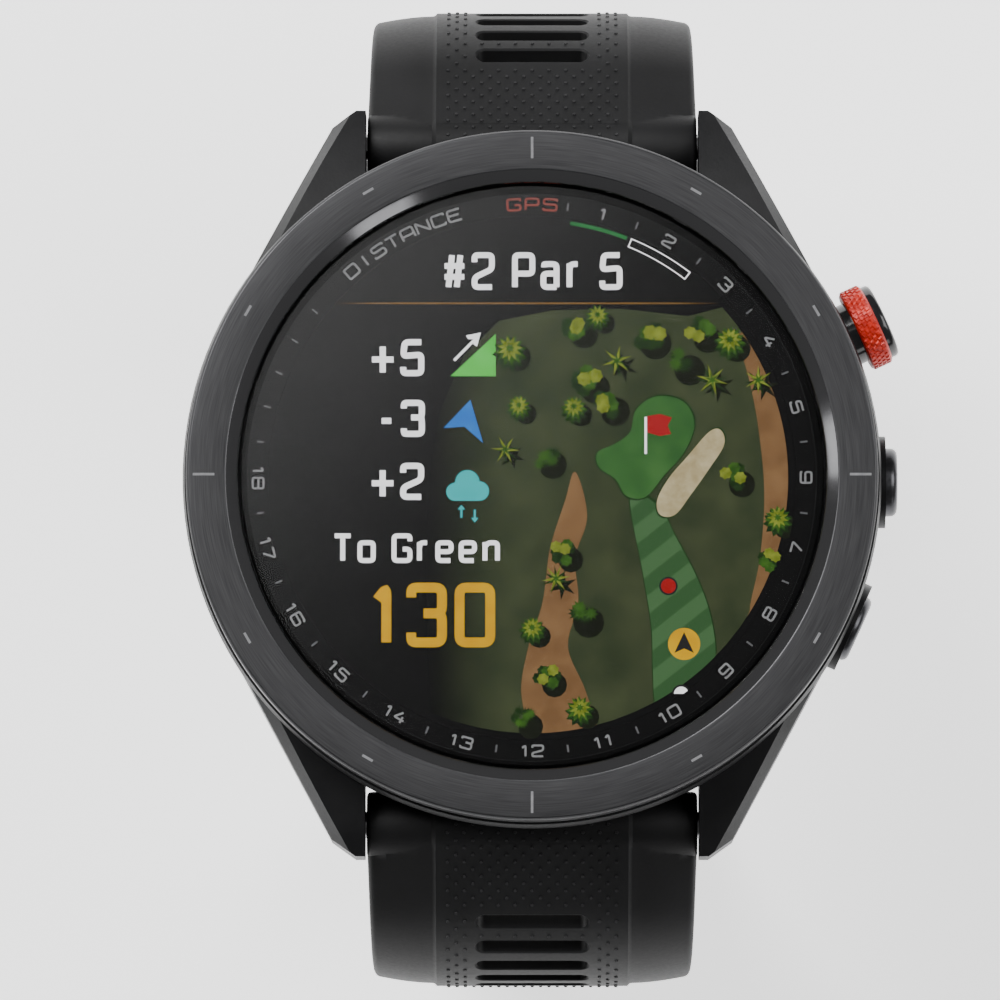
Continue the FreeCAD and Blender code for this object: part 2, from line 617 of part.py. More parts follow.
def buckle_path():
    """Arcs of the buckle half after its straight end: centre, radius, first and last angle."""
    centre, radius, first = lug_arc()
    off = centre - PIN_6
    join = math.degrees(math.atan2(off.z, off.y))
    return [(centre, radius, first, join), (PIN_6, LOOP_R, join, -BUCKLE_PIN_ANGLE)]


def hole_path():
    """Arcs of the hole half: side of the loop, bottom, then the tail on the buckle half."""
    centre, radius, first = lug_arc()
    centre = mirrored(centre)
    side = on_circle(centre, radius, 180)
    low = on_circle(PIN_6, TAIL_R - BOTTOM_R, -BOTTOM_ANGLE)
    off = side - low
    flank_r = (BOTTOM_R ** 2 - off.dot(off)) / (2 * (off.y + BOTTOM_R))
    flank = side + Vector(0, flank_r, 0)
    toward = low - flank
    join = math.degrees(math.atan2(toward.z, toward.y)) + 360
    return [(centre, radius, 180 - first, 180), (flank, flank_r, 180, join),
            (low, BOTTOM_R, join, 360 - BOTTOM_ANGLE), (PIN_6, TAIL_R, 360 - BOTTOM_ANGLE, 360 - TIP_ANGLE)]


def station(path, pin, distance):
    """Point and outward normal at a distance along a strap half, from its lug pin."""
    side = 1 if pin.y > 0 else -1
    heading = math.radians(LUG_HEADING)
    if distance <= LUG_STRAIGHT:
        along = Vector(0, side * math.cos(heading), -math.sin(heading))
        return pin + along * distance, Vector(0, side * math.sin(heading), math.cos(heading))
    left = distance - LUG_STRAIGHT
    for centre, radius, first, last in path:
        length = math.radians(abs(last - first)) * radius
        if left <= length or (centre, radius, first, last) == path[-1]:
            angle = first + (last - first) * left / length
            return on_circle(centre, radius, angle), on_circle(Vector(0, 0, 0), 1.0, angle)
        left -= length


def path_length(path):
    return LUG_STRAIGHT + sum(math.radians(abs(b - a)) * r for c, r, a, b in path)


def eased(amount):
    """0 to 1 with soft ends."""
    amount = min(1.0, max(0.0, amount))
    return amount * amount * (3 - 2 * amount)


def thickness(distance, half_t):
    """Outer and inner half thickness at a distance from the lug pin."""
    thin = eased((distance - THIN_FROM) / THIN_LEN)
    return END_T_OUT + (half_t - END_T_OUT) * thin, END_T_IN + (half_t - END_T_IN) * thin


def strap_width(distance):
    return STRAP_W + (STRAP_W_TAIL - STRAP_W) * min(1.0, max(0.0, distance / TAPER_LEN))


def strap_section(path, pin, distance, half_t):
    point, normal = station(path, pin, distance)
    out, inn = thickness(distance, half_t)
    half = strap_width(distance) / 2
    corners = [point + normal * n + Vector(x, 0, 0)
               for x, n in ((-half, -inn), (half, -inn), (half, out), (-half, out))]
    return Part.makePolygon(corners + corners[:1])


def strap_blank(path, pin, half_t, end):
    """Lofted band from the lug pin to its end, in one bend after the straight stretch."""
    straight = Part.makeLoft([strap_section(path, pin, d, half_t) for d in (0.0, LUG_STRAIGHT)], True, True)
    count = max(8, int((end - LUG_STRAIGHT) / 2.4))
    stops = [LUG_STRAIGHT + (end - LUG_STRAIGHT) * i / count for i in range(count + 1)]
    bent = Part.makeLoft([strap_section(path, pin, d, half_t) for d in stops], True, False)
    hood = Part.makeCylinder(END_T_OUT, STRAP_W, pin + Vector(-STRAP_W / 2, 0, 0), Vector(1, 0, 0))
    return straight.fuse(bent).fuse(hood)


def strap_box(path, pin, d0, d1, n0, n1, x0, x1):
    """Box in the strap's own directions, set square to the middle of its span."""
    point, normal = station(path, pin, (d0 + d1) / 2)
    along = (station(path, pin, (d0 + d1) / 2 + 0.01)[0] - point).normalize()
    half = (d1 - d0) / 2
    corners = [point + along * a + normal * n for a, n in ((-half, n0), (half, n0), (half, n1), (-half, n1))]
    face = Part.Face(Part.makePolygon(corners + corners[:1]))
    face.translate(Vector(x0, 0, 0))
    return face.extrude(Vector(x1 - x0, 0, 0))


def rounded_slot(path, pin, distance, wide, long):
    """Round-ended slot through the band, centred at a distance along it."""
    point, normal = station(path, pin, distance)
    half_gap = abs(wide - long) / 2
    radius = min(wide, long) / 2
    depth = 3.2
    along = (station(path, pin, distance + 0.01)[0] - point).normalize()
    across = Vector(1, 0, 0) if wide > long else along
    parts = [Part.makeCylinder(radius, 2 * depth, point - normal * depth + across * (side * half_gap), normal)
             for side in (-1, 1)]
    if wide > long:
        middle = strap_box(path, pin, distance - radius, distance + radius, -depth, depth, -half_gap, half_gap)
    else:
        middle = strap_box(path, pin, distance - half_gap, distance + half_gap, -depth, depth, -radius, radius)
    return parts[0].fuse(parts[1]).fuse(middle)


def hook_space(path, pin):
    """Room inside the strap end for the hook, its plate and the latch."""
    half = HOOK_W / 2
    room = Part.makeCylinder(HOOK_R, HOOK_W, pin + Vector(-half, 0, 0), Vector(1, 0, 0))
    room = room.fuse(strap_box(path, pin, 0.0, PLATE_LEN, -PLATE_T / 2, PLATE_T / 2, -PLATE_W / 2, PLATE_W / 2))
    room = room.fuse(strap_box(path, pin, -3.0, HOOK_R, -4.0, -HOOK_R * 0.2, -half, half))
    latch_half = LATCH_W / 2 + LATCH_CLEAR
    room = room.fuse(strap_box(path, pin, 0.0, LATCH_TO + LATCH_TRAVEL + 0.1, -4.0, -END_T_IN + LATCH_T + 0.1,
                               -latch_half, latch_half))
    bore = Part.makeCylinder(PIN_R + HOOK_BORE_CLEAR, 2 * FAR, pin + Vector(-FAR, 0, 0), Vector(1, 0, 0))
    return room.fuse(bore)


def make_hook(name, path, pin):
    half = HOOK_W / 2
    body = Part.makeCylinder(HOOK_R, HOOK_W, pin + Vector(-half, 0, 0), Vector(1, 0, 0))
    body = body.fuse(strap_box(path, pin, 0.0, PLATE_LEN, -PLATE_T / 2, PLATE_T / 2, -PLATE_W / 2, PLATE_W / 2))
    body = body.cut(Part.makeCylinder(PIN_R + HOOK_BORE_CLEAR, 2 * FAR, pin + Vector(-FAR, 0, 0), Vector(1, 0, 0)))
    body = body.cut(strap_box(path, pin, -HOOK_MOUTH / 2, HOOK_MOUTH / 2, -4.0, 0.0, -FAR, FAR))
    nose_half = LATCH_NOSE_W / 2 + LATCH_CLEAR
    body = body.cut(strap_box(path, pin, -HOOK_R, HOOK_R + 1, -4.0, -HOOK_R + LATCH_NOSE_T + 0.15,
                              -nose_half, nose_half))
    keep(name, solid_of(body))


def make_latch(name, spring_name, path, pin):
    """Sliding plate whose nose closes the mouth of the hook, and its return spring."""
    low = -END_T_IN
    body = strap_box(path, pin, LATCH_FROM, LATCH_TO, low, low + LATCH_T, -LATCH_W / 2, LATCH_W / 2)
    nose_low = -HOOK_R + 0.05
    nose = strap_box(path, pin, -HOOK_MOUTH / 2 + 0.1, LATCH_FROM + 0.2, nose_low, nose_low + LATCH_NOSE_T,
                     -LATCH_NOSE_W / 2, LATCH_NOSE_W / 2)
    keep(name, solid_of(body.fuse(nose)))
    springs = []
    room = LATCH_TRAVEL - 2 * LATCH_SPRING_WIRE_R
    point, normal = station(path, pin, LATCH_TO + LATCH_SPRING_WIRE_R + 0.02)
    for x in (-2.2, 2.2):
        spring = coil(LATCH_SPRING_R, LATCH_SPRING_WIRE_R, 0.3, room)
        side = 1 if pin.y > 0 else -1
        spring.rotate(Vector(0, 0, 0), Vector(1, 0, 0), -side * (90 + LUG_HEADING))
        spring.translate(point + normal * (low + LATCH_T / 2) + Vector(x, 0, 0))
        springs.append(spring)
    keep(spring_name, *springs)


# ======================= strap halves =======================

def make_buckle_half():
    path = buckle_path()
    end = path_length(path)
    band = strap_blank(path, PIN_12, HALF_T_BUCKLE, end)
    pin = on_circle(PIN_6, LOOP_R, -BUCKLE_PIN_ANGLE)
    half = STRAP_W_TAIL / 2
    band = band.fuse(Part.makeCylinder(HALF_T_BUCKLE, 2 * half, pin + Vector(-half, 0, 0), Vector(1, 0, 0)))
    band = band.cut(hook_space(path, PIN_12))
    band = band.cut(Part.makeCylinder(BUCKLE_PIN_R + 0.02, 2 * FAR, pin + Vector(-FAR, 0, 0), Vector(1, 0, 0)))
    gap = TONGUE_W / 2 + TONGUE_SLOT
    band = band.cut(strap_box(path, PIN_12, end - TONGUE_HUB_R - 0.4, end + 3, -3, 3, -gap, gap))
    for i in range(SLOT_COUNT):
        band = band.cut(rounded_slot(path, PIN_12, SLOT_FIRST + i * SLOT_PITCH, SLOT_W, SLOT_H))
    keep("strap_buckle_half", solid_of(band))
    make_hook("strap_hook_12", path, PIN_12)
    make_latch("release_latch_12", "latch_springs_12", path, PIN_12)


def make_hole_half():
    path = hole_path()
    end = path_length(path)
    band = strap_blank(path, PIN_6, HALF_T_HOLE, end)
    band = band.cut(hook_space(path, PIN_6))
    band = band.cut(tip_corners(path, end))
    for i in range(SLOT_COUNT):
        band = band.cut(rounded_slot(path, PIN_6, SLOT_FIRST + i * SLOT_PITCH, SLOT_W, SLOT_H))
    used = end - math.radians(tongue_angle() - TIP_ANGLE) * TAIL_R
    for i in range(HOLE_COUNT):
        distance = used + (HOLES_TOWARDS_TIP - i) * HOLE_PITCH
        band = band.cut(rounded_slot(path, PIN_6, distance, HOLE_W, HOLE_L))
    keep("strap_hole_half", solid_of(band))
    make_hook("strap_hook_6", path, PIN_6)
    make_latch("release_latch_6", "latch_springs_6", path, PIN_6)


def tongue_angle():
    """Where the tongue passes the tail, in the middle of the used hole."""
    return BUCKLE_PIN_ANGLE + math.degrees(TONGUE_OFFSET / TAIL_R)


def tip_corners(path, end):
    """What rounds the two corners of the tail's tip."""
    half = STRAP_W_TAIL / 2
    block = strap_box(path, PIN_6, end - TIP_ROUND, end + 4, -6, 6, -FAR, FAR)
    point, normal = station(path, PIN_6, end - TIP_ROUND)
    middle = half - TIP_ROUND
    along = (station(path, PIN_6, end)[0] - station(path, PIN_6, end - 0.1)[0]).normalize()
    square = station(path, PIN_6, end - TIP_ROUND / 2)[1]
    round_part = None
    for side in (-1, 1):
        post = Part.makeCylinder(TIP_ROUND, 40, point - square * 20 + Vector(side * middle, 0, 0), square)
        round_part = post if round_part is None else round_part.fuse(post)
    strip = strap_box(path, PIN_6, end - TIP_ROUND - 3, end - 0.02, -20, 20, -middle, middle)
    return block.cut(round_part.fuse(strip))


# ======================= buckle and keepers =======================

def sector(r0, r1, a0, a1, x0, x1):
    """Block bounded by two radii and two angles about the 6 o'clock pin."""
    corners = [on_circle(PIN_6, r0, -a0), on_circle(PIN_6, r1, -a0)]
    face = Part.Face(Part.makePolygon([corners[0] + Vector(x0, 0, 0), corners[1] + Vector(x0, 0, 0),
                                       corners[1] + Vector(x1, 0, 0), corners[0] + Vector(x1, 0, 0),
                                       corners[0] + Vector(x0, 0, 0)]))
    return face.revolve(PIN_6, Vector(1, 0, 0), -(a1 - a0))


def buckle_pin_at():
    return on_circle(PIN_6, LOOP_R, -BUCKLE_PIN_ANGLE)


def make_frame():
    """Frame with a far bar over the tail and two arms down to the buckle pin."""
    bar_a0 = BAR_ANGLE
    bar_a1 = BAR_ANGLE + BAR_ARC
    frame = sector(BAR_R_IN, BAR_R_OUT, bar_a0, bar_a1, -ARM_X_OUT, ARM_X_OUT)
    pin = buckle_pin_at()
    for side in (-1, 1):
        x0, x1 = sorted((side * ARM_X_IN, side * ARM_X_OUT))
        outline = [on_circle(PIN_6, LOOP_R - BOSS_R, -BUCKLE_PIN_ANGLE),
                   on_circle(PIN_6, LOOP_R + BOSS_R, -BUCKLE_PIN_ANGLE),
                   on_circle(PIN_6, BAR_R_OUT, -bar_a0 + 2.0), on_circle(PIN_6, BAR_R_OUT, -bar_a1),
                   on_circle(PIN_6, BAR_R_IN - 1.4, -bar_a1)]
        face = Part.Face(Part.makePolygon(outline + outline[:1]))
        face.translate(Vector(x0, 0, 0))
        frame = frame.fuse(face.extrude(Vector(x1 - x0, 0, 0)))
        frame = frame.fuse(Part.makeCylinder(BOSS_R, x1 - x0, pin + Vector(x0, 0, 0), Vector(1, 0, 0)))
    frame = frame.cut(Part.makeCylinder(BUCKLE_PIN_R + RUN_FIT, 2 * FAR, pin + Vector(-FAR, 0, 0), Vector(1, 0, 0)))
    keep("buckle_frame", solid_of(frame))
    keep("buckle_pin", Part.makeCylinder(BUCKLE_PIN_R, 2 * ARM_X_OUT, pin + Vector(-ARM_X_OUT, 0, 0),
                                         Vector(1, 0, 0)))


def make_tongue():
    """Cranked tongue: hub on the pin, leg up through the hole, tip on the far bar."""
    pin = buckle_pin_at()
    out = on_circle(Vector(0, 0, 0), 1.0, -BUCKLE_PIN_ANGLE)
    along = Vector(0, out.z, -out.y)
    tip_angle = BAR_ANGLE + BAR_ARC
    rest_in = on_circle(PIN_6, BAR_R_OUT + TONGUE_ON_BAR, -BAR_ANGLE + TONGUE_REST_BACK)
    tip_in = on_circle(PIN_6, BAR_R_OUT + TONGUE_ON_BAR, -tip_angle)
    lower = [pin + along * a + out * n for a, n in TONGUE_LOWER] + [rest_in, tip_in]
    upper = [tip_in + out * (TONGUE_T - TONGUE_TIP_THIN), rest_in + out * TONGUE_T]
    upper += [pin + along * a + out * n for a, n in TONGUE_UPPER]
    outline = lower + upper
    face = Part.Face(Part.makePolygon(outline + outline[:1]))
    face.translate(Vector(-TONGUE_W / 2, 0, 0))
    tongue = face.extrude(Vector(TONGUE_W, 0, 0))
    tongue = tongue.fuse(Part.makeCylinder(TONGUE_HUB_R, TONGUE_W, pin + Vector(-TONGUE_W / 2, 0, 0),
                                           Vector(1, 0, 0)))
    tongue = tongue.cut(Part.makeCylinder(BUCKLE_PIN_R + RUN_FIT, 2 * FAR, pin + Vector(-FAR, 0, 0),
                                          Vector(1, 0, 0)))
    keep("buckle_tongue", solid_of(tongue))


def keeper(angle):
    """Band round both layers of the strap, centred at an angle about the 6 o'clock pin."""
    r_in = LOOP_R - HALF_T_BUCKLE - KEEPER_CLEAR
    r_out = TAIL_R + HALF_T_HOLE + KEEPER_CLEAR
    half = STRAP_W_TAIL / 2 + KEEPER_CLEAR
    a0 = angle - KEEPER_ARC / 2
    a1 = angle + KEEPER_ARC / 2
    outer = sector(r_in - KEEPER_WALL, r_out + KEEPER_WALL, a0, a1, -half - KEEPER_WALL, half + KEEPER_WALL)
    outer = outer.makeFillet(KEEPER_ROUND, outer.Edges)
    return outer.cut(sector(r_in, r_out, a0 - 1, a1 + 1, -half, half))


def make_keepers():
    keep("keeper_fixed", solid_of(keeper(FIXED_KEEPER_ANGLE)))
    keep("keeper_free", solid_of(keeper(FREE_KEEPER_ANGLE)))


make_case()
make_front()
make_back()
make_port()
make_sensor()
make_inside()
make_buttons()
make_buckle_half()
make_hole_half()
make_frame()
make_tongue()
make_keepers()

for node_name, node_shape in sorted(made.items()):
    limits = node_shape.BoundBox
    print("%-22s solids %d valid %s volume %9.2f  z %.2f..%.2f" % (
        node_name, len(node_shape.Solids), node_shape.isValid(), node_shape.Volume, limits.ZMin, limits.ZMax))
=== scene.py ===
import json
import math
import random
from contextlib import contextmanager

import bmesh
import bpy
from mathutils import Matrix, Vector


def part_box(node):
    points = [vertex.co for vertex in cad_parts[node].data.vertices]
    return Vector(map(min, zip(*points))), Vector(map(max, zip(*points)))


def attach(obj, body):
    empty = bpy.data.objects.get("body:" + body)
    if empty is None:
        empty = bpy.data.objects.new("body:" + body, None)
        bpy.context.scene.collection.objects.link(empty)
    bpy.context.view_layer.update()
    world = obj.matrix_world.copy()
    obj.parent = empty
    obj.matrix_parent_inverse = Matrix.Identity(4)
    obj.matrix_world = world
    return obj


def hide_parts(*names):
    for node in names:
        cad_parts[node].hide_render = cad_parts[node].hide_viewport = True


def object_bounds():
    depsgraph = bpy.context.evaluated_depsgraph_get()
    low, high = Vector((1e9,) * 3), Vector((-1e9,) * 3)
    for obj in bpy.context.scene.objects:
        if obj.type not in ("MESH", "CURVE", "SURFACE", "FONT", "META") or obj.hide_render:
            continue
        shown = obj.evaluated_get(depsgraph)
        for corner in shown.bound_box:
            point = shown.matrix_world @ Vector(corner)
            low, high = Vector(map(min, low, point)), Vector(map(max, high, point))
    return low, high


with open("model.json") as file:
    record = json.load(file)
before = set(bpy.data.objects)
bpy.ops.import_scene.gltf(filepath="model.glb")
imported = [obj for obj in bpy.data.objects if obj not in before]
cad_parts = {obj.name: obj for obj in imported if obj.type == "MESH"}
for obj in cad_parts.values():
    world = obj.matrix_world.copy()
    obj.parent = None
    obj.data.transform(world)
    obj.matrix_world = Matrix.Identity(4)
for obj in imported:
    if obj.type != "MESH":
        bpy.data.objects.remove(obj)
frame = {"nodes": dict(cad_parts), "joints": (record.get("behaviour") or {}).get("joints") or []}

MM = 0.001
SAME_POINT = 1e-7
cad_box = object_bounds()
joints = {j["name"]: j for j in frame["joints"]}

# ---- sizes that the frame gives ----
PIN_6 = Vector(joints["hole_strap_swing"]["pos_m"])
PIN_12 = Vector(joints["buckle_strap_swing"]["pos_m"])
BUCKLE_PIN = Vector(joints["buckle_frame_turn"]["pos_m"])
BEZEL_LOW, BEZEL_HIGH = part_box("bezel_ring")
LENS_LOW, LENS_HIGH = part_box("lens")
BEZEL_R = BEZEL_HIGH.x
LENS_R = LENS_HIGH.x
BEZEL_TOP = BEZEL_HIGH.z
LENS_TOP = LENS_HIGH.z
SCREEN_R = 17.2             # millimetres, like all points of the screen
SCREEN_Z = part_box("display_panel")[1].z + 0.02 * MM
LAYER = 0.006 * MM

# ---- strap sizes, the same as the design's ----
STRAP_W = 22.3 * MM
STRAP_W_TAIL = 20.5 * MM
TAPER_LEN = 34.0 * MM
STRAIGHT = 5.0 * MM
HEADING = math.radians(35.0)
LOOP_R = (BUCKLE_PIN - PIN_6).length
HALF_BUCKLE = 1.3 * MM
HALF_HOLE = 1.2 * MM
TAIL_R = LOOP_R + HALF_BUCKLE + 0.2 * MM + HALF_HOLE
END_OUT = 2.45 * MM
END_IN = 1.75 * MM
THIN_FROM = 5.0 * MM
THIN_LEN = 14.0 * MM
BOTTOM_R = 20.0 * MM
BOTTOM_ANGLE = 67.0
TIP_ANGLE = 24.0
TIP_ROUND = 8.5 * MM
LANE_HALF = 6.5 * MM
LANE_RISE = 0.2 * MM
SLOT = (7.5 * MM, 1.15 * MM)
SLOT_FIRST = 6.1 * MM
SLOT_PITCH = 1.95 * MM
SLOT_COUNT = 5
HOLE = (2.3 * MM, 4.8 * MM)
HOLE_PITCH = 6.6 * MM
HOLE_COUNT = 9
HOLES_TOWARDS_TIP = 3
TONGUE_OFFSET = 2.7 * MM
BUCKLE_PIN_R = 0.75 * MM
TONGUE_SLOT_HALF = 1.15 * MM
TONGUE_SLOT_DEEP = 1.703 * MM
LUG_BORE_R = 0.95 * MM
HOOK_ROOM_R = 1.92 * MM
BORE_REACH = 12.0 * MM
CUT_MERGE = 5e-7
# rooms cut into a strap half: along it from and to, over its middle from and to, and half width;
# no face of a room lies in the same plane as another cut's
PLATE_ROOM = (0.31 * MM, 5.253 * MM, -0.531 * MM, 0.532 * MM, 8.553 * MM)
LATCH_ROOM = (0.33 * MM, 5.303 * MM, -4.1 * MM, -END_IN + 0.803 * MM)


# ======================= materials =======================

BLACK = (0.0, 0.0, 0.0)
BRUSH_STRETCH = 0.0005      # how far a brushed line runs round the ring, against its width


class Finish:
    """A node material with its shader, and helpers that feed the shader."""

    def __init__(self, name, color, rough=0.5, **sockets):
        self.mat = bpy.data.materials.new(name)
        self.mat.use_nodes = True
        self.tree = self.mat.node_tree
        self.shader = self.tree.nodes["Principled BSDF"]
        self.shader.inputs["Base Color"].default_value = (*color, 1.0)
        self.shader.inputs["Roughness"].default_value = rough
        for socket, value in sockets.items():
            self.shader.inputs[socket.replace("_", " ")].default_value = value
        self.coords = self.tree.nodes.new("ShaderNodeTexCoord").outputs["Object"]

    def node(self, kind, **settings):
        made = self.tree.nodes.new(kind)
        for key, value in settings.items():
            setattr(made, key, value)
        return made

    def link(self, source, target):
        self.tree.links.new(source, target)

    def noise(self, scale, detail=3.0, vector=None):
        made = self.node("ShaderNodeTexNoise")
        made.inputs["Scale"].default_value = scale
        made.inputs["Detail"].default_value = detail
        self.link(vector or self.coords, made.inputs["Vector"])
        return made.outputs["Fac"]

    def ramp(self, source, stops):
        made = self.node("ShaderNodeValToRGB")
        band = made.color_ramp
        while len(band.elements) < len(stops):
            band.elements.new(0.5)
        for element, (place, color) in zip(band.elements, stops):
            element.position = place
            element.color = (*color, 1.0)
        self.link(source, made.inputs["Fac"])
        return made.outputs["Color"]

    def tint(self, source, stops, socket="Base Color"):
        self.link(self.ramp(source, stops), self.shader.inputs[socket])

    def spread(self, source, low, high):
        """Roughness between two values by a pattern."""
        made = self.node("ShaderNodeMapRange")
        made.inputs["To Min"].default_value = low
        made.inputs["To Max"].default_value = high
        self.link(source, made.inputs["Value"])
        self.link(made.outputs["Result"], self.shader.inputs["Roughness"])

    def bump(self, source, strength, distance):
        made = self.node("ShaderNodeBump")
        made.inputs["Strength"].default_value = strength
        made.inputs["Distance"].default_value = distance
        self.link(source, made.inputs["Height"])
        self.link(made.outputs["Normal"], self.shader.inputs["Normal"])

    def calc(self, operation, first, second=None):
        """Result of a sum on one or two inputs, which are sockets or numbers."""
        made = self.node("ShaderNodeMath", operation=operation)
        for slot, value in zip(made.inputs, (first, second)):
            if isinstance(value, float):
                slot.default_value = value
            elif value:
                self.link(value, slot)
        return made.outputs[0]

    def axes(self):
        split = self.node("ShaderNodeSeparateXYZ")
        self.link(self.coords, split.inputs["Vector"])
        return split.outputs


def brushed_ring_metal():
    """Dark coated metal brushed round the watch axis, with radial sheen."""
    f = Finish("brushed_ring_metal", (0.052, 0.052, 0.055), 0.36, Metallic=0.9)
    x, y, _ = f.axes()
    radius = f.calc("SQRT", f.calc("ADD", f.calc("MULTIPLY", x, x), f.calc("MULTIPLY", y, y)))
    polar = f.node("ShaderNodeCombineXYZ")
    f.link(radius, polar.inputs[0])
    f.link(f.calc("MULTIPLY", f.calc("ARCTAN2", y, x), BRUSH_STRETCH), polar.inputs[1])
    lines = f.noise(14000, 2.0, polar.outputs[0])
    f.tint(lines, [(0.3, (0.038, 0.038, 0.040)), (0.7, (0.056, 0.056, 0.058))])
    f.spread(lines, 0.34, 0.44)
    f.bump(lines, 0.06, 0.00002)
    return f.mat


def polished_dark_metal():
    f = Finish("polished_dark_metal", (0.15, 0.15, 0.155), 0.12, Metallic=0.95)
    f.spread(f.noise(900), 0.08, 0.18)
    return f.mat


def case_polymer():
    """Fine-grained black polymer with a slight satin sheen."""
    f = Finish("case_polymer", (0.006, 0.006, 0.0065), 0.42, Specular_IOR_Level=0.22)
    grain = f.noise(5200, 4.0)
    f.tint(f.noise(260), [(0.35, (0.004, 0.004, 0.0045)), (0.7, (0.008, 0.008, 0.0085))])
    f.spread(grain, 0.34, 0.52)
    f.bump(grain, 0.25, 0.00003)
    return f.mat


def silicone(name, low, high, grain_strength):
    f = Finish(name, low, 0.55, Specular_IOR_Level=0.2)
    f.tint(f.noise(180), [(0.3, low), (0.75, high)])
    grain = f.noise(4200, 4.0)
    f.spread(grain, 0.46, 0.62)
    f.bump(grain, grain_strength, 0.00003)
    return f.mat


def knurled_red():
    """Red anodised metal of the start button's band."""
    f = Finish("knurled_red", (0.45, 0.015, 0.005), 0.36, Metallic=0.25)
    wear = f.noise(2400)
    f.tint(wear, [(0.3, (0.34, 0.008, 0.003)), (0.75, (0.56, 0.022, 0.008))])
    f.spread(wear, 0.26, 0.42)
    f.bump(wear, 0.2, 0.00003)
    return f.mat


def metal(name, low, high, rough, grain=2600, metallic=1.0):
    f = Finish(name, low, rough, Metallic=metallic)
    pattern = f.noise(grain)
    f.tint(pattern, [(0.3, low), (0.75, high)])
    f.spread(pattern, rough * 0.8, rough * 1.25)
    f.bump(pattern, 0.08, 0.00002)
    return f.mat


def plastic(name, low, high, rough, grain=2600):
    return metal(name, low, high, rough, grain, 0.0)


def clear_glass():
    f = Finish("clear_glass", BLACK, 0.14, Alpha=0.3, Specular_IOR_Level=1.0)
    f.spread(f.noise(300), 0.12, 0.16)
    f.mat.surface_render_method = "BLENDED"
    return f.mat


def glow(name, low, high, strength=1.0, scale=700):
    """Lit display colour with a slight variation across it."""
    f = Finish(name, BLACK, 0.6, Emission_Strength=strength, Specular_IOR_Level=0.0)
    f.tint(f.noise(scale), [(0.35, low), (0.7, high)], "Emission Color")
    return f.mat


def dark_panel():
    """Unlit display: nearly black, without a shine of its own under the glass."""
    f = Finish("display_black", (0.0008, 0.0008, 0.0009), 0.6, Specular_IOR_Level=0.0)
    f.tint(f.noise(900), [(0.3, (0.0006, 0.0006, 0.0007)), (0.7, (0.001, 0.001, 0.0011))])
    return f.mat


def print_ink(name, low, high):
    # Ink colour of printed marks, also set to glow faintly at strength 0.25: painted light standing in for
    # the light the glass keeps off them.
    f = Finish(name, low, 0.6, Emission_Strength=0.25)
    tone = f.ramp(f.noise(2500), [(0.3, low), (0.7, high)])
    for socket in ("Base Color", "Emission Color"):
        f.link(tone, f.shader.inputs[socket])
    return f.mat


def turf():
    """Rough ground of the course map: olive turf that fades to black at the left."""
    f = Finish("map_turf", BLACK, 0.7, Emission_Strength=1.0, Specular_IOR_Level=0.0)
    ground = f.ramp(f.noise(420, 6.0), [(0.25, (0.050, 0.075, 0.030)), (0.75, (0.115, 0.145, 0.060))])
    fade = f.node("ShaderNodeMapRange", interpolation_type="SMOOTHSTEP")
    fade.inputs["From Min"].default_value = -7.2 * MM
    fade.inputs["From Max"].default_value = -1.2 * MM
    f.link(f.axes()["X"], fade.inputs["Value"])
    mix = f.node("ShaderNodeMix", data_type="RGBA", blend_type="MULTIPLY")
    mix.inputs["Factor"].default_value = 1.0
    f.link(ground, mix.inputs["A"])
    f.link(fade.outputs["Result"], mix.inputs["B"])
    f.link(mix.outputs["Result"], f.shader.inputs["Emission Color"])
    return f.mat


def fairway_stripes():
    """Mown stripes across the fairway."""
    f = Finish("map_fairway", BLACK, 0.7, Emission_Strength=1.0, Specular_IOR_Level=0.0)
    turned = f.node("ShaderNodeMapping")
    turned.inputs["Rotation"].default_value = (0, 0, math.radians(52))
    f.link(f.coords, turned.inputs["Vector"])
    wave = f.node("ShaderNodeTexWave", wave_type="BANDS", bands_direction="X")
    wave.inputs["Scale"].default_value = 150.0
    wave.inputs["Distortion"].default_value = 0.3
    f.link(turned.outputs["Vector"], wave.inputs["Vector"])
    f.tint(wave.outputs["Fac"], [(0.42, (0.070, 0.20, 0.062)), (0.58, (0.125, 0.30, 0.11))],
           "Emission Color")
    return f.mat


# ======================= meshes =======================

@contextmanager
def edited(mesh):
    """The points and faces of a mesh, written back at the end."""
    shape = bmesh.new()
    shape.from_mesh(mesh)
    yield shape
    shape.to_mesh(mesh)
    shape.free()


def new_object(name, data):
    made = bpy.data.objects.new(name, data)
    bpy.context.scene.collection.objects.link(made)
    return made


def shade(mesh, sharp_from):
    mesh.shade_smooth()
    mesh.set_sharp_from_angle(angle=math.radians(sharp_from))


def mesh_object(name, verts, faces, material, smooth=True):
    mesh = bpy.data.meshes.new(name)
    mesh.from_pydata([tuple(v) for v in verts], [], faces)
    with edited(mesh) as shape:
        bmesh.ops.remove_doubles(shape, verts=shape.verts, dist=SAME_POINT)
        bmesh.ops.recalc_face_normals(shape, faces=shape.faces)
    mesh.materials.append(material)
    if smooth:
        shade(mesh, 32)
    return new_object(name, mesh)


def from_rows(name, rows, material, closed, smooth=True):
    """Skin over rows of points; the rows close into a ring, or the two ends are capped."""
    count = len(rows[0])
    faces = []
    for i in range(len(rows) if closed else len(rows) - 1):
        j = (i + 1) % len(rows)
        for k in range(count):
            m = (k + 1) % count
            faces.append((i * count + k, j * count + k, j * count + m, i * count + m))
    if not closed:
        last = (len(rows) - 1) * count
        faces += [tuple(range(count)), tuple(last + k for k in reversed(range(count)))]
    return mesh_object(name, [v for row in rows for v in row], faces, material, smooth)


def settle(piece):
    """Replace a piece by the plain mesh of its evaluated state."""
    graph = bpy.context.evaluated_depsgraph_get()
    mesh = bpy.data.meshes.new_from_object(piece.evaluated_get(graph), depsgraph=graph)
    piece.modifiers.clear()
    piece.data = mesh
    return piece


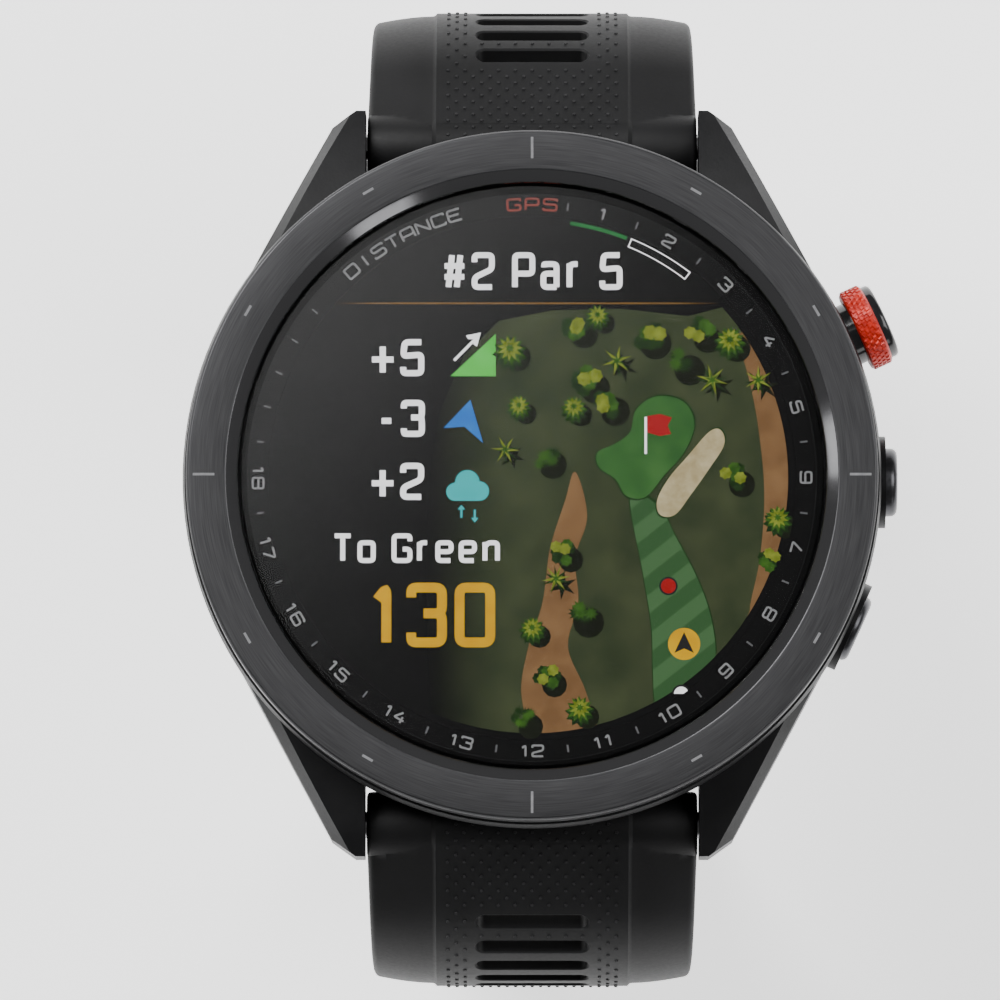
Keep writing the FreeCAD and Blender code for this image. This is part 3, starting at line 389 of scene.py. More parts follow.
def round_the(steps, start=0.0):
    """Angles of equal steps round a circle."""
    return [2 * math.pi * (i + start) / steps for i in range(steps)]


def polar(radius, degrees):
    """Point of the dial at a clock angle."""
    a = math.radians(90 - degrees)
    return (radius * math.cos(a), radius * math.sin(a))


def lathe(name, profile, material, steps=288):
    """Closed turned shape from (radius, height) corners about the watch axis."""
    rows = [[Vector((r * math.cos(a), r * math.sin(a), z)) for r, z in profile] for a in round_the(steps)]
    return from_rows(name, rows, material, True)


def rounded_corner(before, here, after, radius, share):
    """Points of the round that takes a corner's place, using up to a share of each side."""
    here = Vector(here)
    before = Vector(before) - here
    after = Vector(after) - here
    reach = min(radius, before.length * share, after.length * share)
    a = here + before.normalized() * reach
    b = here + after.normalized() * reach
    return [tuple(a * (1 - t) ** 2 + here * 2 * t * (1 - t) + b * t ** 2) for t in (0, 0.25, 0.5, 0.75, 1)]


def rounded_profile(corners, radius):
    """(r, z) corners with a small round at each."""
    after = corners[1:] + corners[:1]
    return [p for i, here in enumerate(corners)
            for p in rounded_corner(corners[i - 1], here, after[i], radius, 1 / 3)]


def flat_shape(name, outline, z, material):
    """Flat closed shape on the dial, from (x, y) points."""
    verts = [Vector((x, y, z)) for x, y in outline]
    made = mesh_object(name, verts, [tuple(range(len(verts)))], material, smooth=False)
    if made.data.polygons[0].normal.z < 0:
        made.data.flip_normals()
    return made


def joined(name, pieces):
    """One object from several, keeping their materials."""
    bpy.ops.object.select_all(action="DESELECT")
    for piece in pieces:
        piece.select_set(True)
    bpy.context.view_layer.objects.active = pieces[0]
    bpy.ops.object.join()
    pieces[0].name = name
    pieces[0].data.name = name
    return pieces[0]


# Strokes of the lettering, in a box 1 wide and 1 high; a stroke that ends where it began is closed.
GLYPHS = {
    "0": [[(0.5, 1), (1, 1), (1, 0), (0, 0), (0, 1), (0.5, 1)]],
    "1": [[(0.15, 0.78), (0.62, 1), (0.62, 0)]],
    "2": [[(0, 0.78), (0, 1), (1, 1), (1, 0.56), (0, 0.3), (0, 0), (1, 0)]],
    "3": [[(0, 0.82), (0, 1), (1, 1), (1, 0.53), (0.4, 0.53)],
          [(0.4, 0.53), (1, 0.53), (1, 0), (0, 0), (0, 0.18)]],
    "4": [[(0.62, 1), (0, 0.3), (1, 0.3)], [(0.74, 0.62), (0.74, 0)]],
    "5": [[(1, 1), (0.08, 1), (0, 0.55), (1, 0.6), (1, 0), (0, 0), (0, 0.2)]],
    "6": [[(1, 0.84), (1, 1), (0, 1), (0, 0), (1, 0), (1, 0.57), (0, 0.57)]],
    "7": [[(0, 1), (1, 1), (0.36, 0)]],
    "8": [[(0.5, 1), (1, 1), (1, 0.53), (0, 0.53), (0, 1), (0.5, 1)],
          [(0.5, 0), (1, 0), (1, 0.53), (0, 0.53), (0, 0), (0.5, 0)]],
    "9": [[(0, 0.16), (0, 0), (1, 0), (1, 1), (0, 1), (0, 0.43), (1, 0.43)]],
    "+": [[(0.5, 0.86), (0.5, 0.02)], [(-0.1, 0.44), (1.1, 0.44)]],
    "-": [[(0.1, 0.42), (0.9, 0.42)]],
    "#": [[(0.38, 1), (0.2, 0)], [(0.8, 1), (0.62, 0)], [(0, 0.66), (1, 0.66)], [(0, 0.32), (1, 0.32)]],
    "P": [[(0, 0), (0, 1), (1, 1), (1, 0.42), (0, 0.42)]],
    "a": [[(0.1, 0.62), (0.1, 0.72), (0.9, 0.72), (0.9, 0)],
          [(0.9, 0.42), (0.05, 0.42), (0.05, 0), (0.9, 0)]],
    "r": [[(0.1, 0), (0.1, 0.74)], [(0.1, 0.5), (0.2, 0.72), (0.85, 0.72)]],
    "T": [[(0, 1), (1, 1)], [(0.5, 1), (0.5, 0)]],
    "o": [[(0.5, 0.72), (0.95, 0.72), (0.95, 0), (0.05, 0), (0.05, 0.72), (0.5, 0.72)]],
    "G": [[(1, 0.78), (1, 1), (0, 1), (0, 0), (1, 0), (1, 0.46), (0.55, 0.46)]],
    "e": [[(0.05, 0.36), (0.95, 0.36), (0.95, 0.72), (0.05, 0.72), (0.05, 0), (0.9, 0)]],
    "n": [[(0.08, 0), (0.08, 0.74)], [(0.08, 0.55), (0.3, 0.72), (0.92, 0.72), (0.92, 0)]],
    "C": [[(1, 0.8), (1, 1), (0, 1), (0, 0), (1, 0), (1, 0.2)]],
    "S": [[(1, 0.82), (1, 1), (0, 1), (0, 0.53), (1, 0.53), (1, 0), (0, 0), (0, 0.18)]],
    "E": [[(1, 1), (0, 1), (0, 0), (1, 0)], [(0, 0.52), (0.85, 0.52)]],
    "D": [[(0, 0), (0, 1)], [(0, 1), (1, 1), (1, 0), (0, 0)]],
    "I": [[(0.5, 0), (0.5, 1)]],
    "A": [[(0, 0), (0, 1), (1, 1), (1, 0)], [(0, 0.36), (1, 0.36)]],
    "N": [[(0, 0), (0, 1)], [(0, 1), (1, 0)], [(1, 0), (1, 1)]],
}
NARROW = {"1": 0.72, "+": 1.0, "-": 0.75, "r": 0.72, "a": 0.92, "o": 0.95, "e": 0.95, "n": 0.95, "#": 1.1}


def rounded_stroke(points, radius):
    """Polyline with its corners rounded."""
    closed = points[0] == points[-1]
    ring = points[:-1] if closed else points
    out = []
    for i in range(len(ring)) if closed else range(1, len(ring) - 1):
        out += rounded_corner(ring[i - 1], ring[i], ring[(i + 1) % len(ring)], radius, 0.49)
    return out + out[:1] if closed else [points[0]] + out + [points[-1]]


def ribbon(points, width):
    """Vertices and faces of a flat band of constant width along a polyline."""
    pts = [Vector(p) for p in points]
    closed = (pts[0] - pts[-1]).length < 1e-9
    verts = []
    for i, here in enumerate(pts):
        before = pts[i - 1] if i else (pts[-2] if closed else None)
        after = pts[i + 1] if i + 1 < len(pts) else (pts[1] if closed else None)
        a = (here - before).normalized() if before is not None else None
        b = (after - here).normalized() if after is not None else None
        a = b if a is None else a
        b = a if b is None else b
        way = (a + b).normalized()
        side = Vector((-way.y, way.x))
        stretch = 1 / max(0.5, side.dot(Vector((-a.y, a.x))))
        verts += [here - side * width / 2 * stretch, here + side * width / 2 * stretch]
    faces = [(2 * i, 2 * i + 2, 2 * i + 3, 2 * i + 1) for i in range(len(pts) - 1)]
    return verts, faces


def letters(text, high, wide, stroke, gap, place, z, material, turn=0.0, name="letters"):
    """Line of stroked lettering centred on a point; high and wide are the outside sizes of a glyph."""
    tall = high - stroke
    verts = []
    faces = []
    x = 0.0
    for mark in text:
        if mark == " ":
            x += wide * 0.55
            continue
        broad = wide * NARROW.get(mark, 1.0) - stroke
        for lift, path in enumerate(GLYPHS[mark]):
            scaled_path = [(px * broad, py * tall) for px, py in path]
            band, quads = ribbon(rounded_stroke(scaled_path, 0.17 * wide), stroke)
            base = len(verts)
            verts += [Vector((x + stroke / 2 + v.x, v.y - tall / 2, z + lift * 2e-6)) for v in band]
            faces += [tuple(base + k for k in quad) for quad in quads]
        x += broad + stroke + gap
    shift = -(x - gap) / 2
    spin = Matrix.Rotation(turn, 2)
    placed = []
    for v in verts:
        flat = spin @ Vector((v.x + shift, v.y))
        placed.append(Vector((flat.x + place[0], flat.y + place[1], v.z)))
    made = mesh_object(name, placed, faces, material, smooth=False)
    with edited(made.data) as shape:
        bmesh.ops.reverse_faces(shape, faces=[f for f in shape.faces if f.normal.z < 0])
    return made


# ======================= finishes =======================

bezel_finish = brushed_ring_metal()
chamfer_finish = polished_dark_metal()
case_finish = case_polymer()
glass_finish = clear_glass()
red_finish = knurled_red()
strap_finish = silicone("strap_silicone", (0.004, 0.004, 0.0042), (0.007, 0.007, 0.0075), 0.25)
lane_finish = silicone("strap_lane", (0.012, 0.012, 0.0125), (0.022, 0.022, 0.023), 0.3)
keeper_finish = silicone("keeper_silicone", (0.009, 0.009, 0.0095), (0.015, 0.015, 0.016), 0.2)
seal_finish = silicone("seal_rubber", (0.012, 0.012, 0.012), (0.02, 0.02, 0.02), 0.1)
button_finish = metal("button_metal", (0.045, 0.045, 0.048), (0.07, 0.07, 0.075), 0.3)
gloss_finish = plastic("gloss_black_cap", (0.006, 0.006, 0.007), (0.010, 0.010, 0.011), 0.12, 1500)
steel_finish = metal("plain_steel", (0.42, 0.42, 0.43), (0.55, 0.55, 0.56), 0.3)
buckle_finish = metal("buckle_metal", (0.05, 0.05, 0.053), (0.085, 0.085, 0.09), 0.32, 3500)
gold_finish = metal("gold_plate", (0.75, 0.5, 0.16), (0.9, 0.66, 0.25), 0.2)
black_finish = plastic("black_print", (0.002, 0.002, 0.002), (0.004, 0.004, 0.004), 0.6)
panel_finish = dark_panel()
sensor_finish = plastic("sensor_glass", (0.004, 0.004, 0.005), (0.008, 0.008, 0.01), 0.05, 300)
board_finish = plastic("board_green", (0.01, 0.06, 0.025), (0.02, 0.10, 0.04), 0.4)
nylon_finish = plastic("frame_nylon", (0.16, 0.16, 0.17), (0.24, 0.24, 0.25), 0.55)
foil_finish = metal("battery_foil", (0.45, 0.45, 0.47), (0.6, 0.6, 0.62), 0.35, 600)
film_finish = plastic("ribbon_film", (0.35, 0.16, 0.02), (0.5, 0.25, 0.04), 0.25)
vent_finish = plastic("vent_membrane", (0.6, 0.6, 0.6), (0.75, 0.75, 0.75), 0.8)
# printed marks in their own ink colours, each also glowing faintly as painted light
mark_ink = print_ink("mark_ink", (0.10, 0.10, 0.105), (0.14, 0.14, 0.145))
red_print = print_ink("red_print", (0.42, 0.05, 0.03), (0.52, 0.07, 0.04))
numeral_ink = print_ink("numeral_ink", (0.42, 0.42, 0.43), (0.55, 0.55, 0.56))
tick_ink = print_ink("tick_ink", (0.2, 0.2, 0.21), (0.28, 0.28, 0.29))
white_light = glow("display_white", (0.9, 0.9, 0.92), (1.0, 1.0, 1.0), 3.0)
amber_light = glow("display_amber", (0.86, 0.44, 0.0), (1.0, 0.56, 0.0), 1.6)
gold_light = glow("display_gold", (0.34, 0.17, 0.03), (0.52, 0.27, 0.05))
green_light = glow("display_green", (0.10, 0.80, 0.08), (0.16, 0.92, 0.14), 1.5)
arc_green_light = glow("display_arc_green", (0.02, 0.30, 0.06), (0.03, 0.40, 0.09))
blue_light = glow("display_blue", (0.02, 0.22, 0.85), (0.04, 0.30, 0.95), 1.5)
cyan_light = glow("display_cyan", (0.03, 0.72, 0.74), (0.06, 0.84, 0.86), 1.4)
red_light = glow("display_red", (0.70, 0.012, 0.015), (0.85, 0.025, 0.03))
turf_light = turf()
fairway_light = fairway_stripes()
green_pad_light = glow("map_green", (0.055, 0.22, 0.045), (0.11, 0.34, 0.075), 1.0, 500)
edge_light = glow("map_edge", (0.02, 0.07, 0.015), (0.03, 0.10, 0.02))
sand_light = glow("map_sand", (0.72, 0.58, 0.30), (1.0, 0.86, 0.50), 1.2, 1300)
path_light = glow("map_path", (0.36, 0.185, 0.072), (0.52, 0.285, 0.12), 1.0, 500)
bush_dark = glow("bush_dark", (0.010, 0.040, 0.006), (0.03, 0.10, 0.012), 1.0, 1800)
bush_mid = glow("bush_mid", (0.04, 0.14, 0.012), (0.10, 0.28, 0.025), 1.0, 1800)
bush_light = glow("bush_light", (0.26, 0.34, 0.02), (0.52, 0.62, 0.07), 1.0, 1800)
shade_dark = glow("map_shadow", (0.008, 0.012, 0.003), (0.012, 0.018, 0.004))

NODE_FINISH = {
    "mid_case": case_finish, "rear_cover": case_finish, "charging_port": case_finish,
    "lens_seal": panel_finish, "rear_gasket": seal_finish, "antenna_ring": film_finish,
    "display_tray": panel_finish, "dial_ring": panel_finish, "display_panel": panel_finish,
    "rear_cover_screws": steel_finish, "sensor_window": sensor_finish, "pressure_vent": vent_finish,
    "charging_contacts": gold_finish, "sensor_board": board_finish, "sensor_leds": vent_finish,
    "inner_frame": nylon_finish, "main_board": board_finish, "button_switches": steel_finish,
    "shield_cans": steel_finish, "board_parts": black_finish, "display_flex": film_finish,
    "battery": foil_finish, "vibration_motor": steel_finish, "button_sleeves": steel_finish,
    "lug_pin_12": steel_finish, "lug_pin_6": steel_finish, "buckle_pin": steel_finish,
    "strap_hook_12": case_finish, "strap_hook_6": case_finish,
    "release_latch_12": buckle_finish, "release_latch_6": buckle_finish,
    "latch_springs_12": steel_finish, "latch_springs_6": steel_finish,
    "buckle_tongue": buckle_finish, "keeper_fixed": keeper_finish, "keeper_free": keeper_finish,
}
for button in ("start", "up", "back"):
    for part in ("stem", "clip", "spring"):
        NODE_FINISH[button + "_button_" + part] = steel_finish
    NODE_FINISH[button + "_button_seal"] = seal_finish
for node_name, finish in NODE_FINISH.items():
    slots = frame["nodes"][node_name].data.materials
    slots.clear()
    slots.append(finish)


# ======================= head: bezel, glass, marks =======================

def make_bezel():
    """Bezel ring with a brushed flat and a polished chamfer down to the glass."""
    flat_in = 20.55 * MM
    low = BEZEL_LOW.z
    inner = LENS_R + 0.05 * MM
    corners = [(inner, low), (BEZEL_R, low), (BEZEL_R, BEZEL_TOP - 0.2 * MM),
               (BEZEL_R - 0.16 * MM, BEZEL_TOP),
               (flat_in, BEZEL_TOP), (inner + 0.06 * MM, LENS_TOP + 0.28 * MM), (inner, LENS_TOP - 0.02 * MM)]
    profile = rounded_profile(corners, 0.07 * MM)
    ring = lathe("bezel", profile, bezel_finish, 360)
    ring.data.materials.append(chamfer_finish)
    for face in ring.data.polygons:
        r = math.hypot(face.center.x, face.center.y)
        if r < flat_in - 0.02 * MM:
            face.material_index = 1
    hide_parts("bezel_ring")
    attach(ring, "head")


def make_glass():
    edge = 0.16 * MM
    corners = [(0.02 * MM, LENS_LOW.z), (LENS_R, LENS_LOW.z), (LENS_R, LENS_TOP - edge),
               (LENS_R - edge, LENS_TOP), (0.02 * MM, LENS_TOP)]
    disc = lathe("cover_glass", corners, glass_finish, 240)
    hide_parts("lens")
    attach(disc, "head")


def scatter_tree(name, material, numbers, shape_and_turn):
    """Tree that puts one small shape on every point of a mesh; numbers are its named inputs."""
    tree = bpy.data.node_groups.new(name, "GeometryNodeTree")
    face = tree.interface
    face.new_socket("Geometry", in_out="INPUT", socket_type="NodeSocketGeometry")
    for label, value in numbers.items():
        kind = "NodeSocketInt" if isinstance(value, int) else "NodeSocketFloat"
        face.new_socket(label, in_out="INPUT", socket_type=kind).default_value = value
    face.new_socket("Geometry", in_out="OUTPUT", socket_type="NodeSocketGeometry")
    add, link = tree.nodes.new, tree.links.new
    source = add("NodeGroupInput")
    target = add("NodeGroupOutput")
    shape, turn = shape_and_turn(add, link, source.outputs)
    scatter = add("GeometryNodeInstanceOnPoints")
    link(source.outputs["Geometry"], scatter.inputs["Points"])
    link(shape, scatter.inputs["Instance"])
    link(turn, scatter.inputs["Rotation"])
    real = add("GeometryNodeRealizeInstances")
    dress = add("GeometryNodeSetMaterial")
    dress.inputs["Material"].default_value = material
    link(scatter.outputs["Instances"], real.inputs["Geometry"])
    link(real.outputs["Geometry"], dress.inputs["Geometry"])
    link(dress.outputs["Geometry"], target.inputs["Geometry"])
    return tree


def socket_name(tree, label):
    for item in tree.interface.items_tree:
        if item.item_type == "SOCKET" and item.in_out == "INPUT" and item.name == label:
            return item.identifier


def scattered(name, places, material, numbers, shape_and_turn, facings=()):
    """One small shape on each point, made by a scatter tree; facings are the ways they stand."""
    mesh = bpy.data.meshes.new(name)
    mesh.from_pydata([tuple(p) for p in places], [], [])
    if facings:
        attribute = mesh.attributes.new("facing", "FLOAT_VECTOR", "POINT")
        for item, normal in zip(attribute.data, facings):
            item.vector = normal
    made = new_object(name, mesh)
    tree = scatter_tree(name + "_tree", material, numbers, shape_and_turn)
    modifier = made.modifiers.new("scatter", "NODES")
    modifier.node_group = tree
    for label, value in numbers.items():
        modifier[socket_name(tree, label)] = value
    return settle(made)


def tick_shape(add, link, inputs):
    """Flat bar that points away from the watch axis."""
    bar = add("GeometryNodeMeshGrid")
    bar.inputs["Vertices X"].default_value = 2
    bar.inputs["Vertices Y"].default_value = 2
    link(inputs["Length"], bar.inputs["Size X"])
    link(inputs["Width"], bar.inputs["Size Y"])
    level = add("ShaderNodeVectorMath")
    level.operation = "MULTIPLY"
    level.inputs[1].default_value = (1, 1, 0)
    link(add("GeometryNodeInputPosition").outputs[0], level.inputs[0])
    turn = add("FunctionNodeAlignRotationToVector")
    turn.axis = "X"
    turn.pivot_axis = "Z"
    link(level.outputs[0], turn.inputs["Vector"])
    return bar.outputs["Mesh"], turn.outputs["Rotation"]


def ticks(name, angles, radius, length, width, z, material):
    """Ring of ticks at clock angles in degrees."""
    places = [(*polar(radius, a), z) for a in angles]
    return scattered(name, places, material, {"Length": length, "Width": width}, tick_shape)


MARK_R = 22.0 * MM


def make_bezel_marks():
    z = BEZEL_TOP + 0.004 * MM
    long_marks = ticks("bezel_marks_long", [0, 90, 180, 270], MARK_R, 1.45 * MM, 0.17 * MM, z, mark_ink)
    short_angles = [a for a in range(0, 360, 30) if a % 90]
    short_marks = ticks("bezel_marks_short", short_angles, MARK_R, 0.17 * MM, 0.8 * MM, z, mark_ink)
    marks = joined("bezel_marks", [long_marks, short_marks])
    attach(marks, "head")


PRINT_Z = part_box("dial_ring")[1].z + 0.02 * MM
NUMERAL_R = 18.4 * MM
NUMERAL_H = 0.86 * MM
NUMERAL_STROKE = 0.135 * MM
NUMERAL_GAP = 0.14 * MM
NUMERAL_STEP = 15.0         # degrees from one numeral to the next
LAST_TICKS = [277.5, 285.0, 292.5, 300.0, 307.5]
TURNED_UP_TO = 5
ARC_R = 18.45 * MM
ARC_LETTER = (0.9 * MM, 1.02 * MM, 0.15 * MM, 0.0)


def make_dial_print():
    pieces = []
    for number in range(1, 19):
        clock = NUMERAL_STEP * number
        turn = math.radians(90 - clock) - math.pi / 2
        if number > TURNED_UP_TO:
            turn += math.pi
        pieces.append(letters(str(number), NUMERAL_H, NUMERAL_H, NUMERAL_STROKE, NUMERAL_GAP,
                              polar(NUMERAL_R, clock), PRINT_Z, numeral_ink, turn, "numeral"))
    print_piece = joined("hole_numerals", pieces)
    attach(print_piece, "head")
    angles = [NUMERAL_STEP * (n + 0.5) for n in range(18)] + LAST_TICKS
    marks = ticks("hole_ticks", angles, NUMERAL_R, 0.5 * MM, 0.12 * MM, PRINT_Z, tick_ink)
    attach(marks, "head")


def arc_word(text, clock_0, clock_1, material):
    """Wide letters spread along the dial ring between two clock angles."""
    pieces = []
    for i, mark in enumerate(text):
        clock = clock_0 + (clock_1 - clock_0) / (len(text) - 1) * i
        turn = math.radians(90 - clock) - math.pi / 2
        pieces.append(letters(mark, *ARC_LETTER, polar(ARC_R, clock), PRINT_Z, material, turn, "arc_letter"))
    return pieces


def make_arc_words():
    words = joined("arc_words", arc_word("DISTANCE", 319.0, 343.5, numeral_ink)
                   + arc_word("GPS", 356.2, 363.8, red_print))
    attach(words, "head")


make_arc_words()
make_bezel()
make_glass()
make_bezel_marks()
make_dial_print()


# ======================= display =======================
# All points of the screen are in millimetres from the middle of the dial.

def smooth_outline(points, steps=6):
    """Closed outline rounded through its points."""
    count = len(points)
    pts = [Vector(p) for p in points]
    out = []
    for i in range(count):
        a, b, c, d = (pts[(i + k - 1) % count] for k in range(4))
        for step in range(steps):
            t = step / steps
            out.append(0.5 * ((2 * b) + (c - a) * t + (2 * a - 5 * b + 4 * c - d) * t ** 2
                              + (3 * b - a - 3 * c + d) * t ** 3))
    return [(p.x, p.y) for p in out]


def clipped(points):
    """Outline with the points outside the screen pulled onto its rim."""
    keep = [min(1.0, SCREEN_R / max(math.hypot(x, y), 1e-6)) for x, y in points]
    return [(x * k, y * k) for (x, y), k in zip(points, keep)]


def arc_band(r0, r1, clock_0, clock_1, steps=24):
    """Outline of a band between two radii and two clock angles."""
    span = [clock_0 + (clock_1 - clock_0) * i / steps for i in range(steps + 1)]
    return [polar(r1, c) for c in span] + [polar(r0, c) for c in reversed(span)]


def around(center, size, angles):
    return [(center[0] + size * math.cos(a), center[1] + size * math.sin(a)) for a in angles]


def patch(name, outline, level, material):
    """Flat shape of the screen; a higher level lies over a lower one."""
    return flat_shape(name, [(x * MM, y * MM) for x, y in outline], SCREEN_Z + level * LAYER, material)


def blob(center, size, level, material, name, sides=12):
    return patch(name, around(center, size, round_the(sides)), level, material)


def burst(center, size, petals, inner, turn, level, material, name):
    """Star-shaped tuft of pointed leaves."""
    outline = []
    for i in range(petals * 2):
        r = size if i % 2 == 0 else size * inner
        outline += around(center, r, [turn + math.pi * i / petals])
    return patch(name, outline, level, material)


def map_outline():
    """Ground of the course map: a rounded left shoulder inside the round screen."""
    left = [(-2.2, 10.6), (1.4, 11.3), (6.0, 11.4), (10.5, 10.9)]
    first, last = 42, -113
    rim = around((0, 0), SCREEN_R, [math.radians(first + i * (last - first) / 30) for i in range(31)])
    return left + rim + [(-7.0, -12.0), (-7.1, -6.0), (-6.9, 0.0), (-6.2, 4.5), (-4.6, 8.2)]


GREEN_PAD = [(8.4, 5.5), (10.2, 5.1), (10.9, 3.6), (10.2, 1.7), (8.9, 0.2), (7.6, -1.3), (6.3, -1.2),
             (5.6, -0.1), (4.5, 0.7), (4.4, 1.7), (5.6, 2.3), (6.6, 3.1), (7.0, 4.6)]
SAND_TRAP = [(11.9, 3.1), (12.7, 3.2), (12.9, 2.2), (11.9, 0.6), (10.7, -1.1), (9.6, -2.5), (8.6, -2.5),
             (8.4, -1.5), (9.2, 0.0), (10.4, 1.4)]
FAIRWAY = [(6.6, -1.3), (8.5, -1.9), (9.6, -3.9), (11.1, -6.8), (12.0, -9.4), (12.3, -12.0), (11.8, -14.4),
           (10.2, -15.6), (8.4, -15.4), (8.1, -13.0), (8.0, -10.0), (7.4, -6.2)]
LEFT_PATH = [(2.9, 0.4), (3.7, -2.6), (2.9, -5.4), (3.1, -8.4), (2.4, -11.4), (3.6, -14.4), (4.2, -17.4),
             (0.6, -17.6), (-0.7, -14.8), (-0.3, -11.6), (0.7, -8.4), (1.2, -4.8), (2.2, -1.6)]
RIGHT_PATH = [(13.9, 9.6), (15.6, 9.4), (17.6, 5.0), (18.2, 0.0), (17.6, -5.2), (15.4, -9.4), (14.6, -9.0),
              (15.3, -5.4), (15.6, -1.0), (15.2, 3.4), (14.6, 6.6)]
# bushes: x, y and radius
STAR_BUSHES = [(-1.5, 8.6, 1.0), (-0.9, 4.8, 0.75), (2.8, 4.7, 0.8), (4.4, 10.9, 0.75), (13.3, 9.2, 0.95),
               (16.5, -2.8, 0.85), (0.0, -10.2, 0.8), (3.2, -15.6, 0.85), (15.3, -10.6, 0.7)]
PALM_BUSHES = [(5.7, 7.9, 0.85), (12.1, 6.6, 0.9), (15.2, 6.6, 0.8), (-1.8, 1.9, 0.8), (1.6, -6.8, 0.8)]
ROUND_BUSHES = [(3.0, 10.2, 0.95), (5.1, 5.0, 1.0), (7.8, 9.6, 1.1), (11.3, 9.9, 0.95), (13.6, 0.1, 0.9),
                (2.1, -5.0, 0.85), (1.0, -13.4, 0.85), (16.0, -5.6, 0.8), (3.7, 6.6, 1.05)]
LEAF_BUSHES = [(10.1, 7.8, 1.05), (0.9, 1.4, 0.95), (3.3, -9.2, 1.05), (-0.6, -16.2, 0.85)]
SHADOWS_WITHIN = 16.9
# layers of a star or palm bush: rise and radius as shares of its size, petals, inner radius, level, tone
STAR_LAYERS = ((-0.2, 1.0, 11, 0.72, 4, bush_dark), (0, 0.92, 12, 0.62, 5, bush_mid),
               (0.1, 0.72, 11, 0.55, 6, bush_light), (0.12, 0.3, 7, 0.5, 7, bush_mid))
PALM_LAYERS = ((-0.1, 1.0, 7, 0.25, 4, bush_dark), (0, 1.0, 6, 0.22, 5, bush_light),
               (0, 0.55, 6, 0.25, 6, bush_mid))


def make_bushes():
    """Every bush of the map, each with its shadow to the lower right."""
    rng = random.Random(7)

    def shadow(x, y, size, drop):
        if math.hypot(x, y) < SHADOWS_WITHIN:
            return [blob((x + 0.5, y - drop), size, 3, shade_dark, "bush_shadow")]
        return []

    def tuft(x, y, size, layers, name):
        return [burst((x, y + rise * size), size * share, petals, inner, rng.random(), level, tone, name)
                for rise, share, petals, inner, level, tone in layers]

    pieces = []
    for x, y, size in STAR_BUSHES:
        size *= 1.2
        pieces += shadow(x, y, size * 0.8, 0.5) + tuft(x, y, size, STAR_LAYERS, "star_bush")
    for x, y, size in PALM_BUSHES:
        size *= 1.25
        pieces.append(burst((x + 0.45, y - 0.45), size, 6, 0.35, rng.random(), 3, shade_dark, "palm_shadow"))
        pieces += tuft(x, y, size, PALM_LAYERS, "palm_bush")
    for group, petals, inner, bright in ((ROUND_BUSHES, 7, 0.8, True), (LEAF_BUSHES, 9, 0.45, False)):
        for x, y, size in group:
            size *= 1.18
            pieces += shadow(x, y, size * 0.85, 0.55)
            for k in range(9):
                a = rng.uniform(0, 2 * math.pi)
                r = size * 0.62 * math.sqrt(rng.random())
                leaf = (x + r * math.cos(a), y + r * math.sin(a))
                tone = bush_dark if k < 5 else bush_light if bright and k > 6 else bush_mid
                pieces.append(burst(leaf, size * 0.42, petals, inner, rng.random(), 4 + k * 0.35, tone,
                                    "round_bush"))
    return joined("map_bushes", pieces)


def make_map():
    pieces = [patch("map_ground", map_outline(), 0, turf_light)]
    for name, outline in (("left_path", LEFT_PATH), ("right_path", RIGHT_PATH)):
        pieces.append(patch(name, clipped(smooth_outline(outline)), 1, path_light))
    for name, outline, level, fill in (("fairway", FAIRWAY, 2.0, fairway_light),
                                       ("green_pad", GREEN_PAD, 2.6, green_pad_light),
                                       ("sand_trap", SAND_TRAP, 2.6, sand_light)):
        ring = smooth_outline(outline)
        middle = Vector((sum(p[0] for p in ring) / len(ring), sum(p[1] for p in ring) / len(ring)))
        outer = [tuple(middle + (Vector(p) - middle) * 1.035) for p in ring]
        pieces.append(patch(name + "_edge", clipped(outer), level, edge_light))
        pieces.append(patch(name, clipped(ring), level + 0.3, fill))
    return joined("course_map", [joined("course_map", pieces), make_bushes()])


def make_map_marks():
    """Flag, target dot, player's arrow and ball."""
    pole = [(7.55, 1.6), (7.72, 1.6), (7.72, 4.1), (7.55, 4.1)]
    flag = [(7.72, 4.15), (8.6, 4.3), (9.4, 4.05), (9.1, 3.5), (9.35, 2.95), (8.6, 2.8), (7.72, 3.05)]
    arrow = [(10.2, -10.4), (10.85, -11.8), (10.2, -11.5), (9.55, -11.8)]
    target, ball = (9.15, -7.3), (10.0, -14.55)
    half_turn = [math.pi * i / 16 for i in range(17)]
    return [patch("flag_pole", pole, 8, white_light), patch("flag", flag, 8, red_light),
            blob(target, 0.62, 8, black_finish, "target_rim", 28),
            blob(target, 0.5, 8.5, red_light, "target_dot", 28),
            blob((10.2, -11.2), 1.08, 8, amber_light, "player_disc", 36),
            patch("player_arrow", arrow, 8.5, black_finish),
            patch("ball_rim", around(ball, 0.62, half_turn), 8, black_finish),
            patch("ball", around(ball, 0.48, half_turn), 8.5, white_light)]


